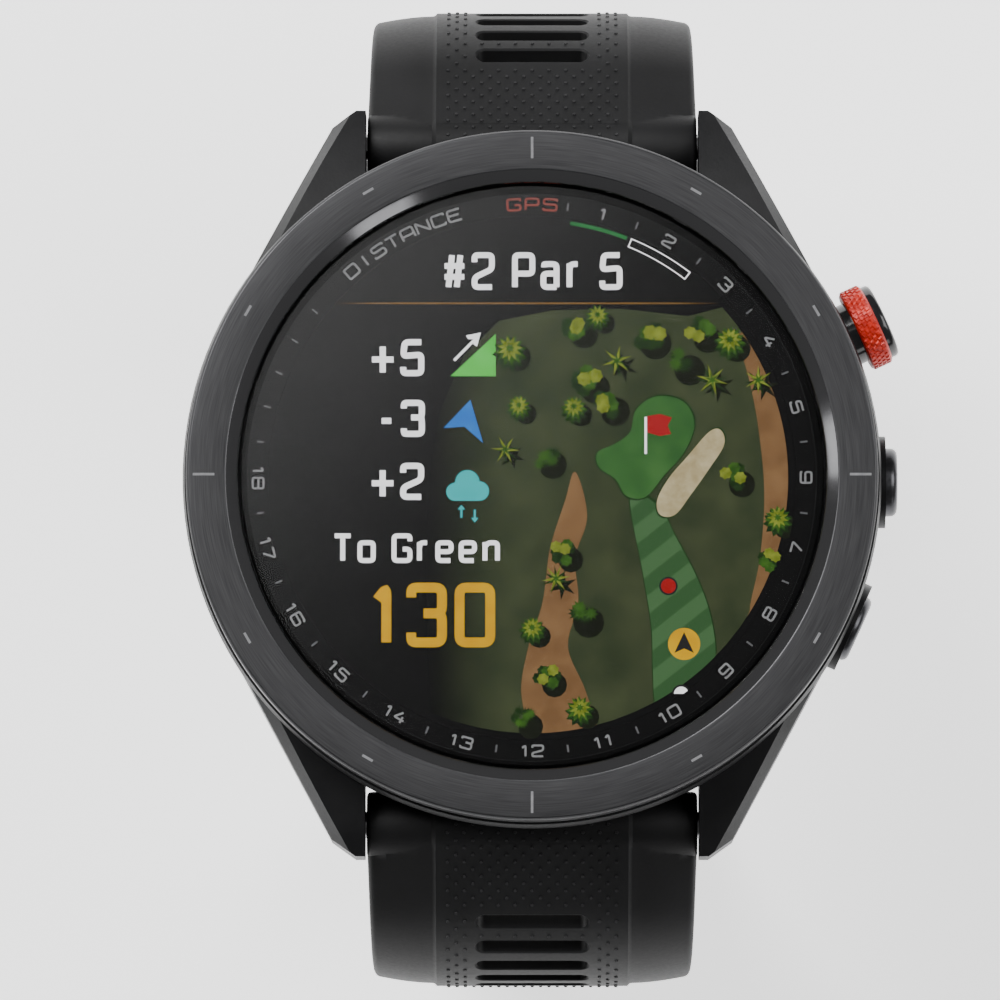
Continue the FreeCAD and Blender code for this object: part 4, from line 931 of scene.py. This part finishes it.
def make_icons():
    shaft = [(-5.3, 7.98), (-5.18, 7.84), (-3.75, 9.3), (-3.87, 9.44)]
    head = [(-3.45, 9.8), (-4.45, 9.6), (-4.3, 9.35), (-3.95, 9.35), (-3.95, 9.0), (-3.7, 8.85)]
    wind = [(-4.15, 5.25), (-3.3, 2.35), (-4.55, 3.45), (-5.95, 3.35)]
    pieces = [patch("slope_icon", [(-2.45, 6.85), (-2.45, 9.7), (-5.5, 6.85)], 2, green_light),
              patch("slope_arrow", shaft, 3, white_light), patch("slope_arrow", head, 3, white_light),
              patch("wind_icon", wind, 2, blue_light)]
    for x, y, r in ((-5.15, -0.95, 0.62), (-4.35, -0.3, 0.82), (-3.55, -0.9, 0.66)):
        pieces.append(blob((x, y), r, 2 + abs(x) * 0.02, cyan_light, "air_icon", 24))
    foot = [(-5.15, -1.56), (-3.55, -1.56), (-3.55, -0.8), (-5.15, -0.8)]
    pieces.append(patch("air_icon", foot, 2.3, cyan_light))
    for x, y0, y1, up in ((-4.75, -2.7, -2.15, 1), (-3.85, -2.15, -2.7, -1)):
        stem = [(x - 0.07, y0), (x + 0.07, y0), (x + 0.07, y1), (x - 0.07, y1)]
        tip = [(x - 0.26, y1), (x + 0.26, y1), (x, y1 + up * 0.32)]
        pieces += [patch("air_arrow", outline, 2, cyan_light) for outline in (stem, tip)]
    return pieces


# lettering of the screen, all of it generic: height, width, stroke, gap and middle
READINGS = (("#2 Par 5", 2.55, 1.56, 0.39, 0.3, (0.0, 13.95), white_light),
            ("+5", 2.5, 1.62, 0.41, 0.36, (-9.05, 8.1), white_light),
            ("-3", 2.5, 1.62, 0.41, 0.36, (-8.8, 4.0), white_light),
            ("+2", 2.5, 1.62, 0.41, 0.36, (-9.05, -0.25), white_light),
            ("To Green", 2.0, 1.40, 0.33, 0.24, (-7.75, -4.75), white_light),
            ("130", 4.35, 2.72, 0.66, 0.52, (-6.7, -9.25), amber_light))
# arcs at the rim: two radii, two clock angles
NEXT_FRAME = ((17.42, 17.5, 22.5, 37.5), (16.85, 16.93, 22.5, 37.5), (16.85, 17.5, 22.4, 22.7),
              (16.85, 17.5, 37.3, 37.6))


def make_readings():
    pieces = []
    for text, high, wide, stroke, gap, (x, y), light in READINGS:
        pieces.append(letters(text, high * MM, wide * MM, stroke * MM, gap * MM, (x * MM, y * MM),
                              SCREEN_Z + 4 * LAYER, light, 0.0, "reading"))
    rule = [(-13.4, 11.78), (-9.0, 11.83), (9.0, 11.83), (12.6, 11.78), (9.0, 11.72), (-9.0, 11.72)]
    pieces.append(patch("heading_rule", rule, 1, gold_light))
    pieces.append(patch("played_arc", arc_band(17.25, 17.5, 8.5, 21.5), 3, arc_green_light))
    return pieces + [patch("next_arc", arc_band(*part), 3, white_light) for part in NEXT_FRAME]


def make_display():
    pieces = [make_map()] + make_map_marks() + make_icons() + make_readings()
    screen = joined("display_picture", pieces)
    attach(screen, "head")


make_display()


# ======================= strap =======================

def on_circle(centre, radius, degrees):
    """Point at an angle in the YZ plane, counted from +Y towards +Z."""
    a = math.radians(degrees)
    return centre + Vector((0, radius * math.cos(a), radius * math.sin(a)))


def lug_arc():
    """Centre, radius and first angle of the bend after the straight end at 12 o'clock."""
    along = Vector((0, math.cos(HEADING), -math.sin(HEADING)))
    inward = Vector((0, -math.sin(HEADING), -math.cos(HEADING)))
    start = PIN_12 + along * STRAIGHT
    reach = start - PIN_6
    radius = (LOOP_R ** 2 - reach.dot(reach)) / (2 * (reach.dot(inward) + LOOP_R))
    return start + inward * radius, radius, 90.0 - math.degrees(HEADING)


def pin_angle():
    off = BUCKLE_PIN - PIN_6
    return -math.degrees(math.atan2(off.z, off.y))


def buckle_path():
    centre, radius, first = lug_arc()
    off = centre - PIN_6
    join = math.degrees(math.atan2(off.z, off.y))
    return [(centre, radius, first, join), (PIN_6, LOOP_R, join, -pin_angle())]


def hole_path():
    centre, radius, first = lug_arc()
    centre = Vector((centre.x, -centre.y, centre.z))
    side = on_circle(centre, radius, 180)
    low = on_circle(PIN_6, TAIL_R - BOTTOM_R, -BOTTOM_ANGLE)
    off = side - low
    flank_r = (BOTTOM_R ** 2 - off.dot(off)) / (2 * (off.y + BOTTOM_R))
    flank = side + Vector((0, flank_r, 0))
    toward = low - flank
    join = math.degrees(math.atan2(toward.z, toward.y)) + 360
    return [(centre, radius, 180 - first, 180), (flank, flank_r, 180, join),
            (low, BOTTOM_R, join, 360 - BOTTOM_ANGLE), (PIN_6, TAIL_R, 360 - BOTTOM_ANGLE, 360 - TIP_ANGLE)]


def station(path, pin, distance):
    """Point, outward normal and direction at a distance along a strap half, from its lug pin."""
    side = 1 if pin.y > 0 else -1
    left = distance - STRAIGHT
    if left <= 0:
        along = Vector((0, side * math.cos(HEADING), -math.sin(HEADING)))
        return pin + along * distance, Vector((0, side * math.sin(HEADING), math.cos(HEADING))), along
    for arc in path:
        centre, radius, first, last = arc
        length = math.radians(abs(last - first)) * radius
        if left <= length or arc == path[-1]:
            angle = first + (last - first) * left / length
            normal = on_circle(Vector((0, 0, 0)), 1.0, angle)
            turn = 1 if last > first else -1
            return on_circle(centre, radius, angle), normal, Vector((0, -normal.z, normal.y)) * turn
        left -= length


def path_length(path):
    return STRAIGHT + sum(math.radians(abs(last - first)) * radius for _, radius, first, last in path)


def eased(amount):
    amount = min(1.0, max(0.0, amount))
    return amount * amount * (3 - 2 * amount)


def thickness(distance, half_t):
    thin = eased((distance - THIN_FROM) / THIN_LEN)
    return END_OUT + (half_t - END_OUT) * thin, END_IN + (half_t - END_IN) * thin


def strap_half_width(distance, end, tip):
    full = STRAP_W + (STRAP_W_TAIL - STRAP_W) * min(1.0, max(0.0, distance / TAPER_LEN))
    past = distance - (end - tip)
    if tip and past > 0:
        return full / 2 - tip + math.sqrt(max(0.0, tip ** 2 - past ** 2))
    return full / 2


EDGE_OUT = 0.5 * MM
EDGE_IN = 0.35 * MM
SIDE_FALL = 0.42 * MM
LANE_STEP = 0.28 * MM
LANE_SHARE = 0.62           # most of the half width that the lane takes near the tip
LANE_MARGIN = 0.25 * MM     # lane's edge left without studs
STUD_CLEAR = 0.3 * MM       # from a stud to the edge of an opening


def crown(half, out):
    """Outer face across one side of the strap: (x, height) from the middle to the edge."""
    lane = min(LANE_HALF, half * LANE_SHARE)
    side = [(0.0, out), (lane * 0.5, out), (lane, out), (lane + LANE_STEP * 0.5, out - LANE_RISE * 0.8),
            (lane + LANE_STEP, out - LANE_RISE)]
    start = lane + LANE_STEP
    stop = max(half - EDGE_OUT, start + 0.02 * MM)
    for k in range(1, 6):
        t = k / 5
        side.append((start + (stop - start) * t, out - LANE_RISE - SIDE_FALL * t ** 1.7))
    top = side[-1][1]
    for k in range(1, 6):
        a = math.radians(18 * k)
        side.append((stop + (half - stop) * math.sin(a), top - EDGE_OUT * (1 - math.cos(a))))
    return side


def section(half, out, inn):
    """Closed outline across the strap: (x, height)."""
    right = crown(half, out)
    for k in range(5):
        a = math.radians(22.5 * k)
        right.append((half - EDGE_IN * (1 - math.cos(a)), -inn + EDGE_IN * (1 - math.sin(a))))
    right += [(half * 0.6, -inn), (half * 0.2, -inn)]
    return right + [(-x, n) for x, n in reversed(right) if x > 0]


def swept_band(name, path, pin, half_t, end, tip):
    """Strap half along its path: closer stops at the tip, or a rounded end where it has none."""
    stops = [end * i / 230 for i in range(221)]
    last = stops[-1]
    stops += [last + (end - last) * math.sin(math.radians(90 * i / 16)) for i in range(1, 17)]
    flatten = [1.0] * len(stops)
    for degrees in () if tip else (20, 40, 55, 68, 78, 85):
        stops.append(end + half_t * math.sin(math.radians(degrees)))
        flatten.append(math.cos(math.radians(degrees)))
    rows = []
    for distance, squash in zip(stops, flatten):
        point, normal, _ = station(path, pin, distance)
        ring = section(strap_half_width(distance, end, tip), *thickness(distance, half_t))
        rows.append([point + normal * n * squash + Vector((x, 0, 0)) for x, n in ring])
    return from_rows(name, rows, strap_finish, False)


def turned_bar(name, centre, profile, steps=64):
    """Turned shape about the X direction, from (x, radius) pairs."""
    rows = [[centre + Vector((x, r * math.cos(a), r * math.sin(a))) for a in round_the(steps)]
            for x, r in profile]
    return from_rows(name, rows, strap_finish, False)


def crowned_hood(name, centre, radius, half):
    """Round end over the lug pin, with the lane and the shoulders of the strap."""
    corner = 0.3 * MM
    low = radius - LANE_RISE
    side = [(LANE_HALF, radius), (LANE_HALF + LANE_STEP, low), (half - corner, low)]
    side += [(half - corner * (1 - math.sin(a)), low - corner * (1 - math.cos(a)))
             for a in map(math.radians, (30, 60, 90))]
    return turned_bar(name, centre, [(-x, r) for x, r in reversed(side)] + side)


def strap_block(path, pin, d0, d1, n0, n1, half):
    """Box between two distances along a strap half and two heights over its middle."""
    point, normal, along = station(path, pin, (d0 + d1) / 2)
    reach = (d1 - d0) / 2
    verts = [point + along * a + normal * n + Vector((x, 0, 0))
             for x in (-half, half) for a, n in ((-reach, n0), (reach, n0), (reach, n1), (-reach, n1))]
    faces = [(0, 1, 2, 3), (4, 7, 6, 5), (0, 4, 5, 1), (1, 5, 6, 2), (2, 6, 7, 3), (3, 7, 4, 0)]
    return mesh_object("cutter", verts, faces, strap_finish, smooth=False)


def slot_cutter(path, pin, distance, wide, long, out):
    """Round-ended slot through the strap with a rounded mouth on the outer face."""
    point, normal, along = station(path, pin, distance)
    across = Vector((1, 0, 0))
    radius = min(wide, long) / 2
    gap = abs(wide - long) / 2
    main, other = (across, along) if wide > long else (along, across)
    mouth = 0.16 * MM
    levels = [(-4 * MM, 0.0), (out - mouth, 0.0)]
    levels += [(out - mouth * math.cos(a), mouth * (1 - math.cos(a))) for a in map(math.radians, (30, 60))]
    levels += [(out, mouth), (out + 0.6 * MM, mouth * 2)]
    rows = [[point + normal * n + main * (math.copysign(gap, math.cos(a)) + (radius + grow) * math.cos(a))
             + other * (radius + grow) * math.sin(a) for a in round_the(24, 0.5)] for n, grow in levels]
    return from_rows("cutter", rows, strap_finish, False, smooth=False)


def combine(piece, tool, operation="DIFFERENCE"):
    """Boolean of two closed meshes; the tool is used up."""
    modifier = piece.modifiers.new("cut", "BOOLEAN")
    modifier.operation = operation
    modifier.solver = "EXACT"
    modifier.object = tool
    settle(piece)
    bpy.data.objects.remove(tool)
    with edited(piece.data) as shape:
        bmesh.ops.triangulate(shape, faces=[f for f in shape.faces if len(f.verts) > 4])
        bmesh.ops.remove_doubles(shape, verts=shape.verts, dist=CUT_MERGE)
        bmesh.ops.dissolve_degenerate(shape, dist=CUT_MERGE, edges=shape.edges)


def box_width(node):
    low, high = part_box(node)
    return high[0] - low[0]


def drill(band, centre, radius, half=BORE_REACH):
    combine(band, turned_bar("cutter", centre, [(-half, radius), (half, radius)]))


def cut_hook_room(band, path, pin, hook_node, latch_node):
    """Room for the hook, its plate and the latch, sized from those pieces."""
    half = box_width(hook_node) / 2 + 0.02 * MM
    drill(band, pin, HOOK_ROOM_R, half)
    combine(band, strap_block(path, pin, *PLATE_ROOM))
    combine(band, strap_block(path, pin, -3 * MM, HOOK_ROOM_R - 0.013 * MM, -4 * MM, -HOOK_ROOM_R * 0.21,
                              half - 0.009 * MM))
    combine(band, strap_block(path, pin, *LATCH_ROOM, box_width(latch_node) / 2 + 0.1 * MM))
    drill(band, pin, LUG_BORE_R)


def stud_shape(add, link, inputs):
    """Small flat-topped stud that stands the way its point faces."""
    stud = add("GeometryNodeMeshCone")
    link(inputs["Sides"], stud.inputs["Vertices"])
    shrink = add("ShaderNodeMath")
    shrink.operation = "MULTIPLY"
    shrink.inputs[1].default_value = STUD_TAPER
    link(inputs["Radius"], shrink.inputs[0])
    link(shrink.outputs[0], stud.inputs["Radius Top"])
    link(inputs["Radius"], stud.inputs["Radius Bottom"])
    link(inputs["Height"], stud.inputs["Depth"])
    facing = add("GeometryNodeInputNamedAttribute")
    facing.data_type = "FLOAT_VECTOR"
    facing.inputs["Name"].default_value = "facing"
    turn = add("FunctionNodeAlignRotationToVector")
    turn.axis = "Z"
    link(facing.outputs["Attribute"], turn.inputs["Vector"])
    return stud.outputs["Mesh"], turn.outputs["Rotation"]


def studded(name, places, facings, material, radius, height, sides):
    """Studs standing on points, each along its own direction."""
    numbers = {"Radius": radius, "Height": height, "Sides": sides}
    return scattered(name, places, material, numbers, stud_shape, facings)


STUD_TAPER = 0.62           # top of a stud against its foot
STUD_STEP = 0.57 * MM       # between rows, and between columns of the two rows together
STUD_FROM = -2.0 * MM
STUD_R = 0.17 * MM
STUD_H = 0.16 * MM


def lane_studs(name, path, pin, half_t, end, tip, openings):
    """Staggered studs on the lane, left out around the openings (distance, half width, half length)."""
    places = []
    facings = []
    rows = int((end - tip - STUD_FROM) / STUD_STEP)
    for row in range(rows):
        distance = STUD_FROM + row * STUD_STEP
        point, normal, along = station(path, pin, max(0.0, distance))
        out = thickness(distance, half_t)[0]
        if distance < 0:
            lean = -distance / out
            normal = normal * math.cos(lean) - along * math.sin(lean)
        lane = min(LANE_HALF, strap_half_width(distance, end, tip) * LANE_SHARE) - LANE_MARGIN
        count = int(lane / STUD_STEP)
        for k in range(-count, count + 1):
            x = k * STUD_STEP
            near = any(abs(distance - d) < long + STUD_CLEAR and abs(x) < wide + STUD_CLEAR
                       for d, wide, long in openings)
            if (k + row) % 2 == 0 and not near:
                places.append(point + normal * (out - STUD_H * 0.5) + Vector((x, 0, 0)))
                facings.append(normal)
    return studded(name, places, facings, lane_finish, STUD_R, STUD_H, 5)


def finish_strap(band, node, body):
    """Last touches of a strap half: shading, and its place in the model."""
    with edited(band.data) as shape:
        bmesh.ops.remove_doubles(shape, verts=shape.verts, dist=SAME_POINT)
        bmesh.ops.recalc_face_normals(shape, faces=shape.faces)
    band.data.materials.clear()
    band.data.materials.append(strap_finish)
    shade(band.data, 34)
    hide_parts(node)
    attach(band, body)


def make_strap_half(node, body, path, pin, half_t, tip, hook_node, latch_node, holes):
    end = path_length(path)
    band = swept_band(node + "_band", path, pin, half_t, end, tip)
    combine(band, crowned_hood("hood", pin, END_OUT - 0.007 * MM, STRAP_W / 2 - 0.011 * MM), "UNION")
    cut_hook_room(band, path, pin, hook_node, latch_node)
    cuts = [(SLOT_FIRST + i * SLOT_PITCH, *SLOT) for i in range(SLOT_COUNT)]
    cuts += [(distance, *HOLE) for distance in holes]
    for distance, wide, long in cuts:
        combine(band, slot_cutter(path, pin, distance, wide, long, thickness(distance, half_t)[0]))
    if not tip:
        combine(band, strap_block(path, pin, end - TONGUE_SLOT_DEEP, end + 3 * MM, -3 * MM, 3 * MM,
                                  TONGUE_SLOT_HALF))
        drill(band, BUCKLE_PIN, BUCKLE_PIN_R + 0.02 * MM)
    finish_strap(band, node, body)
    openings = [(distance, wide / 2, long / 2) for distance, wide, long in cuts]
    studs = lane_studs(node + "_studs", path, pin, half_t, end, max(tip, 3 * MM), openings)
    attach(studs, body)


def make_straps():
    path = hole_path()
    end = path_length(path)
    used = end - math.radians(pin_angle() - TIP_ANGLE) * TAIL_R - TONGUE_OFFSET
    holes = [used + (HOLES_TOWARDS_TIP - i) * HOLE_PITCH for i in range(HOLE_COUNT)]
    make_strap_half("strap_buckle_half", "buckle_strap", buckle_path(), PIN_12, HALF_BUCKLE, 0.0,
                    "strap_hook_12", "release_latch_12", [])
    make_strap_half("strap_hole_half", "hole_strap", path, PIN_6, HALF_HOLE, TIP_ROUND,
                    "strap_hook_6", "release_latch_6", holes)


make_straps()


# ======================= buttons =======================

CAP_IN = 23.05              # inner face of every cap, in millimetres from the watch axis
CAP_ROUND = 0.45
START_NECK_R = 2.15
START_CAP_R = 2.6
START_CAP_OUT = 26.2
START_CAP_ROUND = 0.3
BAND_IN = 24.1
BAND_OUT = 25.6
BAND_R = 2.78
BAND_EDGE = 0.12
KNURL = (38, 4)             # studs round the band, and rows of them
CORE = 0.02                 # radius at which a turned cap's faces end


def button_axis(joint):
    """Outward direction of a button."""
    axis = joints[joint]["axis"]
    return Vector((-axis[0], -axis[1], 0.0)).normalized()


def spokes(outward, angles):
    """Directions across a button, at angles about its own line."""
    side = Vector((-outward.y, outward.x, 0))
    return [side * math.cos(a) + Vector((0, 0, math.sin(a))) for a in angles]


def radial_lathe(name, outward, height, profile, material, steps=96):
    """Turned shape about a radial line of the watch, from (distance, radius) corners in millimetres."""
    lift = Vector((0, 0, height))
    rows = [[outward * (d * MM) + spoke * (r * MM) + lift for d, r in profile]
            for spoke in spokes(outward, round_the(steps))]
    return from_rows(name, rows, material, True)


def rim_round(high, radius, size, angles):
    """Points of the round between a cap's side and its face."""
    return [(high - size + size * math.sin(a), radius - size * (1 - math.cos(a)))
            for a in map(math.radians, angles)]


def button_height(node):
    low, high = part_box(node)
    return (low[2] + high[2]) / 2


def cap_reach(node, outward):
    """Distance of a cap's outer face from the watch axis, and its radius, in millimetres."""
    low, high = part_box(node)
    radius = (high[2] - low[2]) / 2
    return (high[0] - radius * abs(outward.y)) / outward.x / MM, radius / MM


def make_small_button(side):
    """Solid cap with a rounded rim and a slightly dished face."""
    outward = button_axis(side + "_press")
    node = side + "_button_cap"
    high, radius = cap_reach(node, outward)
    profile = [(CAP_IN, CORE), (CAP_IN, radius), (high - CAP_ROUND, radius)]
    profile += rim_round(high, radius, CAP_ROUND, (22.5, 45, 67.5, 90))
    profile += [(high - 0.06, radius - 0.6), (high - 0.12, radius * 0.4), (high - 0.13, CORE)]
    cap = radial_lathe(side + "_cap", outward, button_height(node), profile, button_finish)
    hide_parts(node)
    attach(cap, side + "_button")


def make_start_button():
    outward = button_axis("start_press")
    height = button_height("start_button_cap")
    corners = [(CAP_IN, CORE), (CAP_IN, START_NECK_R), (BAND_OUT, START_NECK_R), (BAND_OUT, START_CAP_R),
               (START_CAP_OUT - START_CAP_ROUND, START_CAP_R)]
    corners += rim_round(START_CAP_OUT, START_CAP_R, START_CAP_ROUND, (30, 60, 90))
    corners += [(START_CAP_OUT - 0.05, START_CAP_R - 0.5), (START_CAP_OUT - 0.08, CORE)]
    cap = radial_lathe("start_cap", outward, height, corners, gloss_finish)
    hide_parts("start_button_cap")
    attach(cap, "start_button")
    bore = START_NECK_R + 0.01
    ring = [(BAND_IN, bore), (BAND_IN, BAND_R - BAND_EDGE), (BAND_IN + BAND_EDGE, BAND_R),
            (BAND_OUT - BAND_EDGE, BAND_R), (BAND_OUT, BAND_R - BAND_EDGE), (BAND_OUT, bore)]
    band = radial_lathe("start_band", outward, height, ring, red_finish)
    places = []
    facings = []
    round_it, rows = KNURL
    for row in range(rows):
        distance = BAND_IN + 0.15 + (BAND_OUT - BAND_IN - 0.3) / rows * (row + 0.5)
        for spoke in spokes(outward, round_the(round_it, 0.5 * (row % 2))):
            places.append(outward * distance * MM + spoke * (BAND_R - 0.01) * MM + Vector((0, 0, height)))
            facings.append(spoke)
    knurl = studded("start_knurl", places, facings, red_finish, 0.24 * MM, 0.08 * MM, 4)
    ring_piece = joined("start_band", [band, knurl])
    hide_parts("start_button_band")
    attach(ring_piece, "start_button")


make_small_button("up")
make_small_button("back")
make_start_button()


# ======================= buckle =======================

def make_buckle_frame():
    """The buckle frame's own shape with its sharp edges rounded."""
    source = frame["nodes"]["buckle_frame"]
    made = new_object("buckle_frame_round", source.data.copy())
    with edited(made.data) as shape:
        bmesh.ops.remove_doubles(shape, verts=shape.verts, dist=1e-6)
        bmesh.ops.dissolve_limit(shape, angle_limit=math.radians(2), verts=shape.verts, edges=shape.edges)
        bmesh.ops.recalc_face_normals(shape, faces=shape.faces)
    made.data.materials.clear()
    made.data.materials.append(buckle_finish)
    bevel = made.modifiers.new("round", "BEVEL")
    bevel.width = 0.28 * MM
    bevel.segments = 3
    bevel.limit_method = "ANGLE"
    bevel.angle_limit = math.radians(35)
    settle(made)
    shade(made.data, 40)
    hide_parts("buckle_frame")
    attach(made, "buckle_frame")


make_buckle_frame()


# ======================= floor, light and camera =======================

FLOOR_HALF = 1.2
CAMERA_TILT = math.radians(5.0)
CAMERA_AWAY = 0.850


def make_floor():
    f = Finish("floor", (0.85, 0.85, 0.85), 0.9, Emission_Strength=1.3, Specular_IOR_Level=0.0)
    f.tint(f.noise(3), [(0.3, (0.98, 0.98, 0.98)), (0.7, (1.0, 1.0, 1.0))], "Emission Color")
    z = cad_box[0][2] - 0.2 * MM
    verts = [Vector((x * FLOOR_HALF, y * FLOOR_HALF, z)) for x, y in ((-1, -1), (1, -1), (1, 1), (-1, 1))]
    mesh_object("floor", verts, [(0, 1, 2, 3)], f.mat, smooth=False)


def area_light(name, place, target, width, height, power):
    lamp = bpy.data.lights.new(name, "AREA")
    lamp.shape = "RECTANGLE"
    lamp.size = width
    lamp.size_y = height
    lamp.energy = power
    made = new_object(name, lamp)
    made.location = place
    made.rotation_euler = (Vector(target) - Vector(place)).to_track_quat("-Z", "Y").to_euler()
    return made


def make_lights():
    world = bpy.data.worlds.new("studio")
    world.use_nodes = True
    sky = world.node_tree.nodes["Background"].inputs
    sky["Color"].default_value = (1, 1, 1, 1)
    sky["Strength"].default_value = 0.2
    bpy.context.scene.world = world
    area_light("key", (-0.45, 0.45, 0.75), (0, 0, 0), 0.5, 0.5, 16.0)
    area_light("fill", (0.6, 0.1, 0.7), (0, 0, 0), 0.6, 0.6, 6.0)
    area_light("left_card", (-0.5, 0.0, 0.14), (0, 0, 0.014), 0.1, 0.12, 0.12)
    area_light("low_card", (0.27, -0.42, 0.14), (0, 0, 0.014), 0.12, 0.12, 0.12)
    card = area_light("glass_card", (-0.056, 0.108, 0.614), (-0.056, 0.108, 0.0), 0.12, 0.12, 0.10)
    card.rotation_euler = (0, 0, math.radians(45))


def make_camera():
    data = bpy.data.cameras.new("camera")
    data.sensor_width = 36
    data.lens = 457
    data.shift_x = -0.0321
    data.shift_y = -0.0259
    data.clip_start = 0.05
    data.clip_end = 5
    camera = new_object("camera", data)
    back, up = math.sin(CAMERA_TILT) * CAMERA_AWAY, math.cos(CAMERA_TILT) * CAMERA_AWAY
    camera.location = (0, -back, BEZEL_TOP + up)
    camera.rotation_euler = (CAMERA_TILT, 0, 0)
    bpy.context.scene.camera = camera


make_floor()
make_lights()
make_camera()
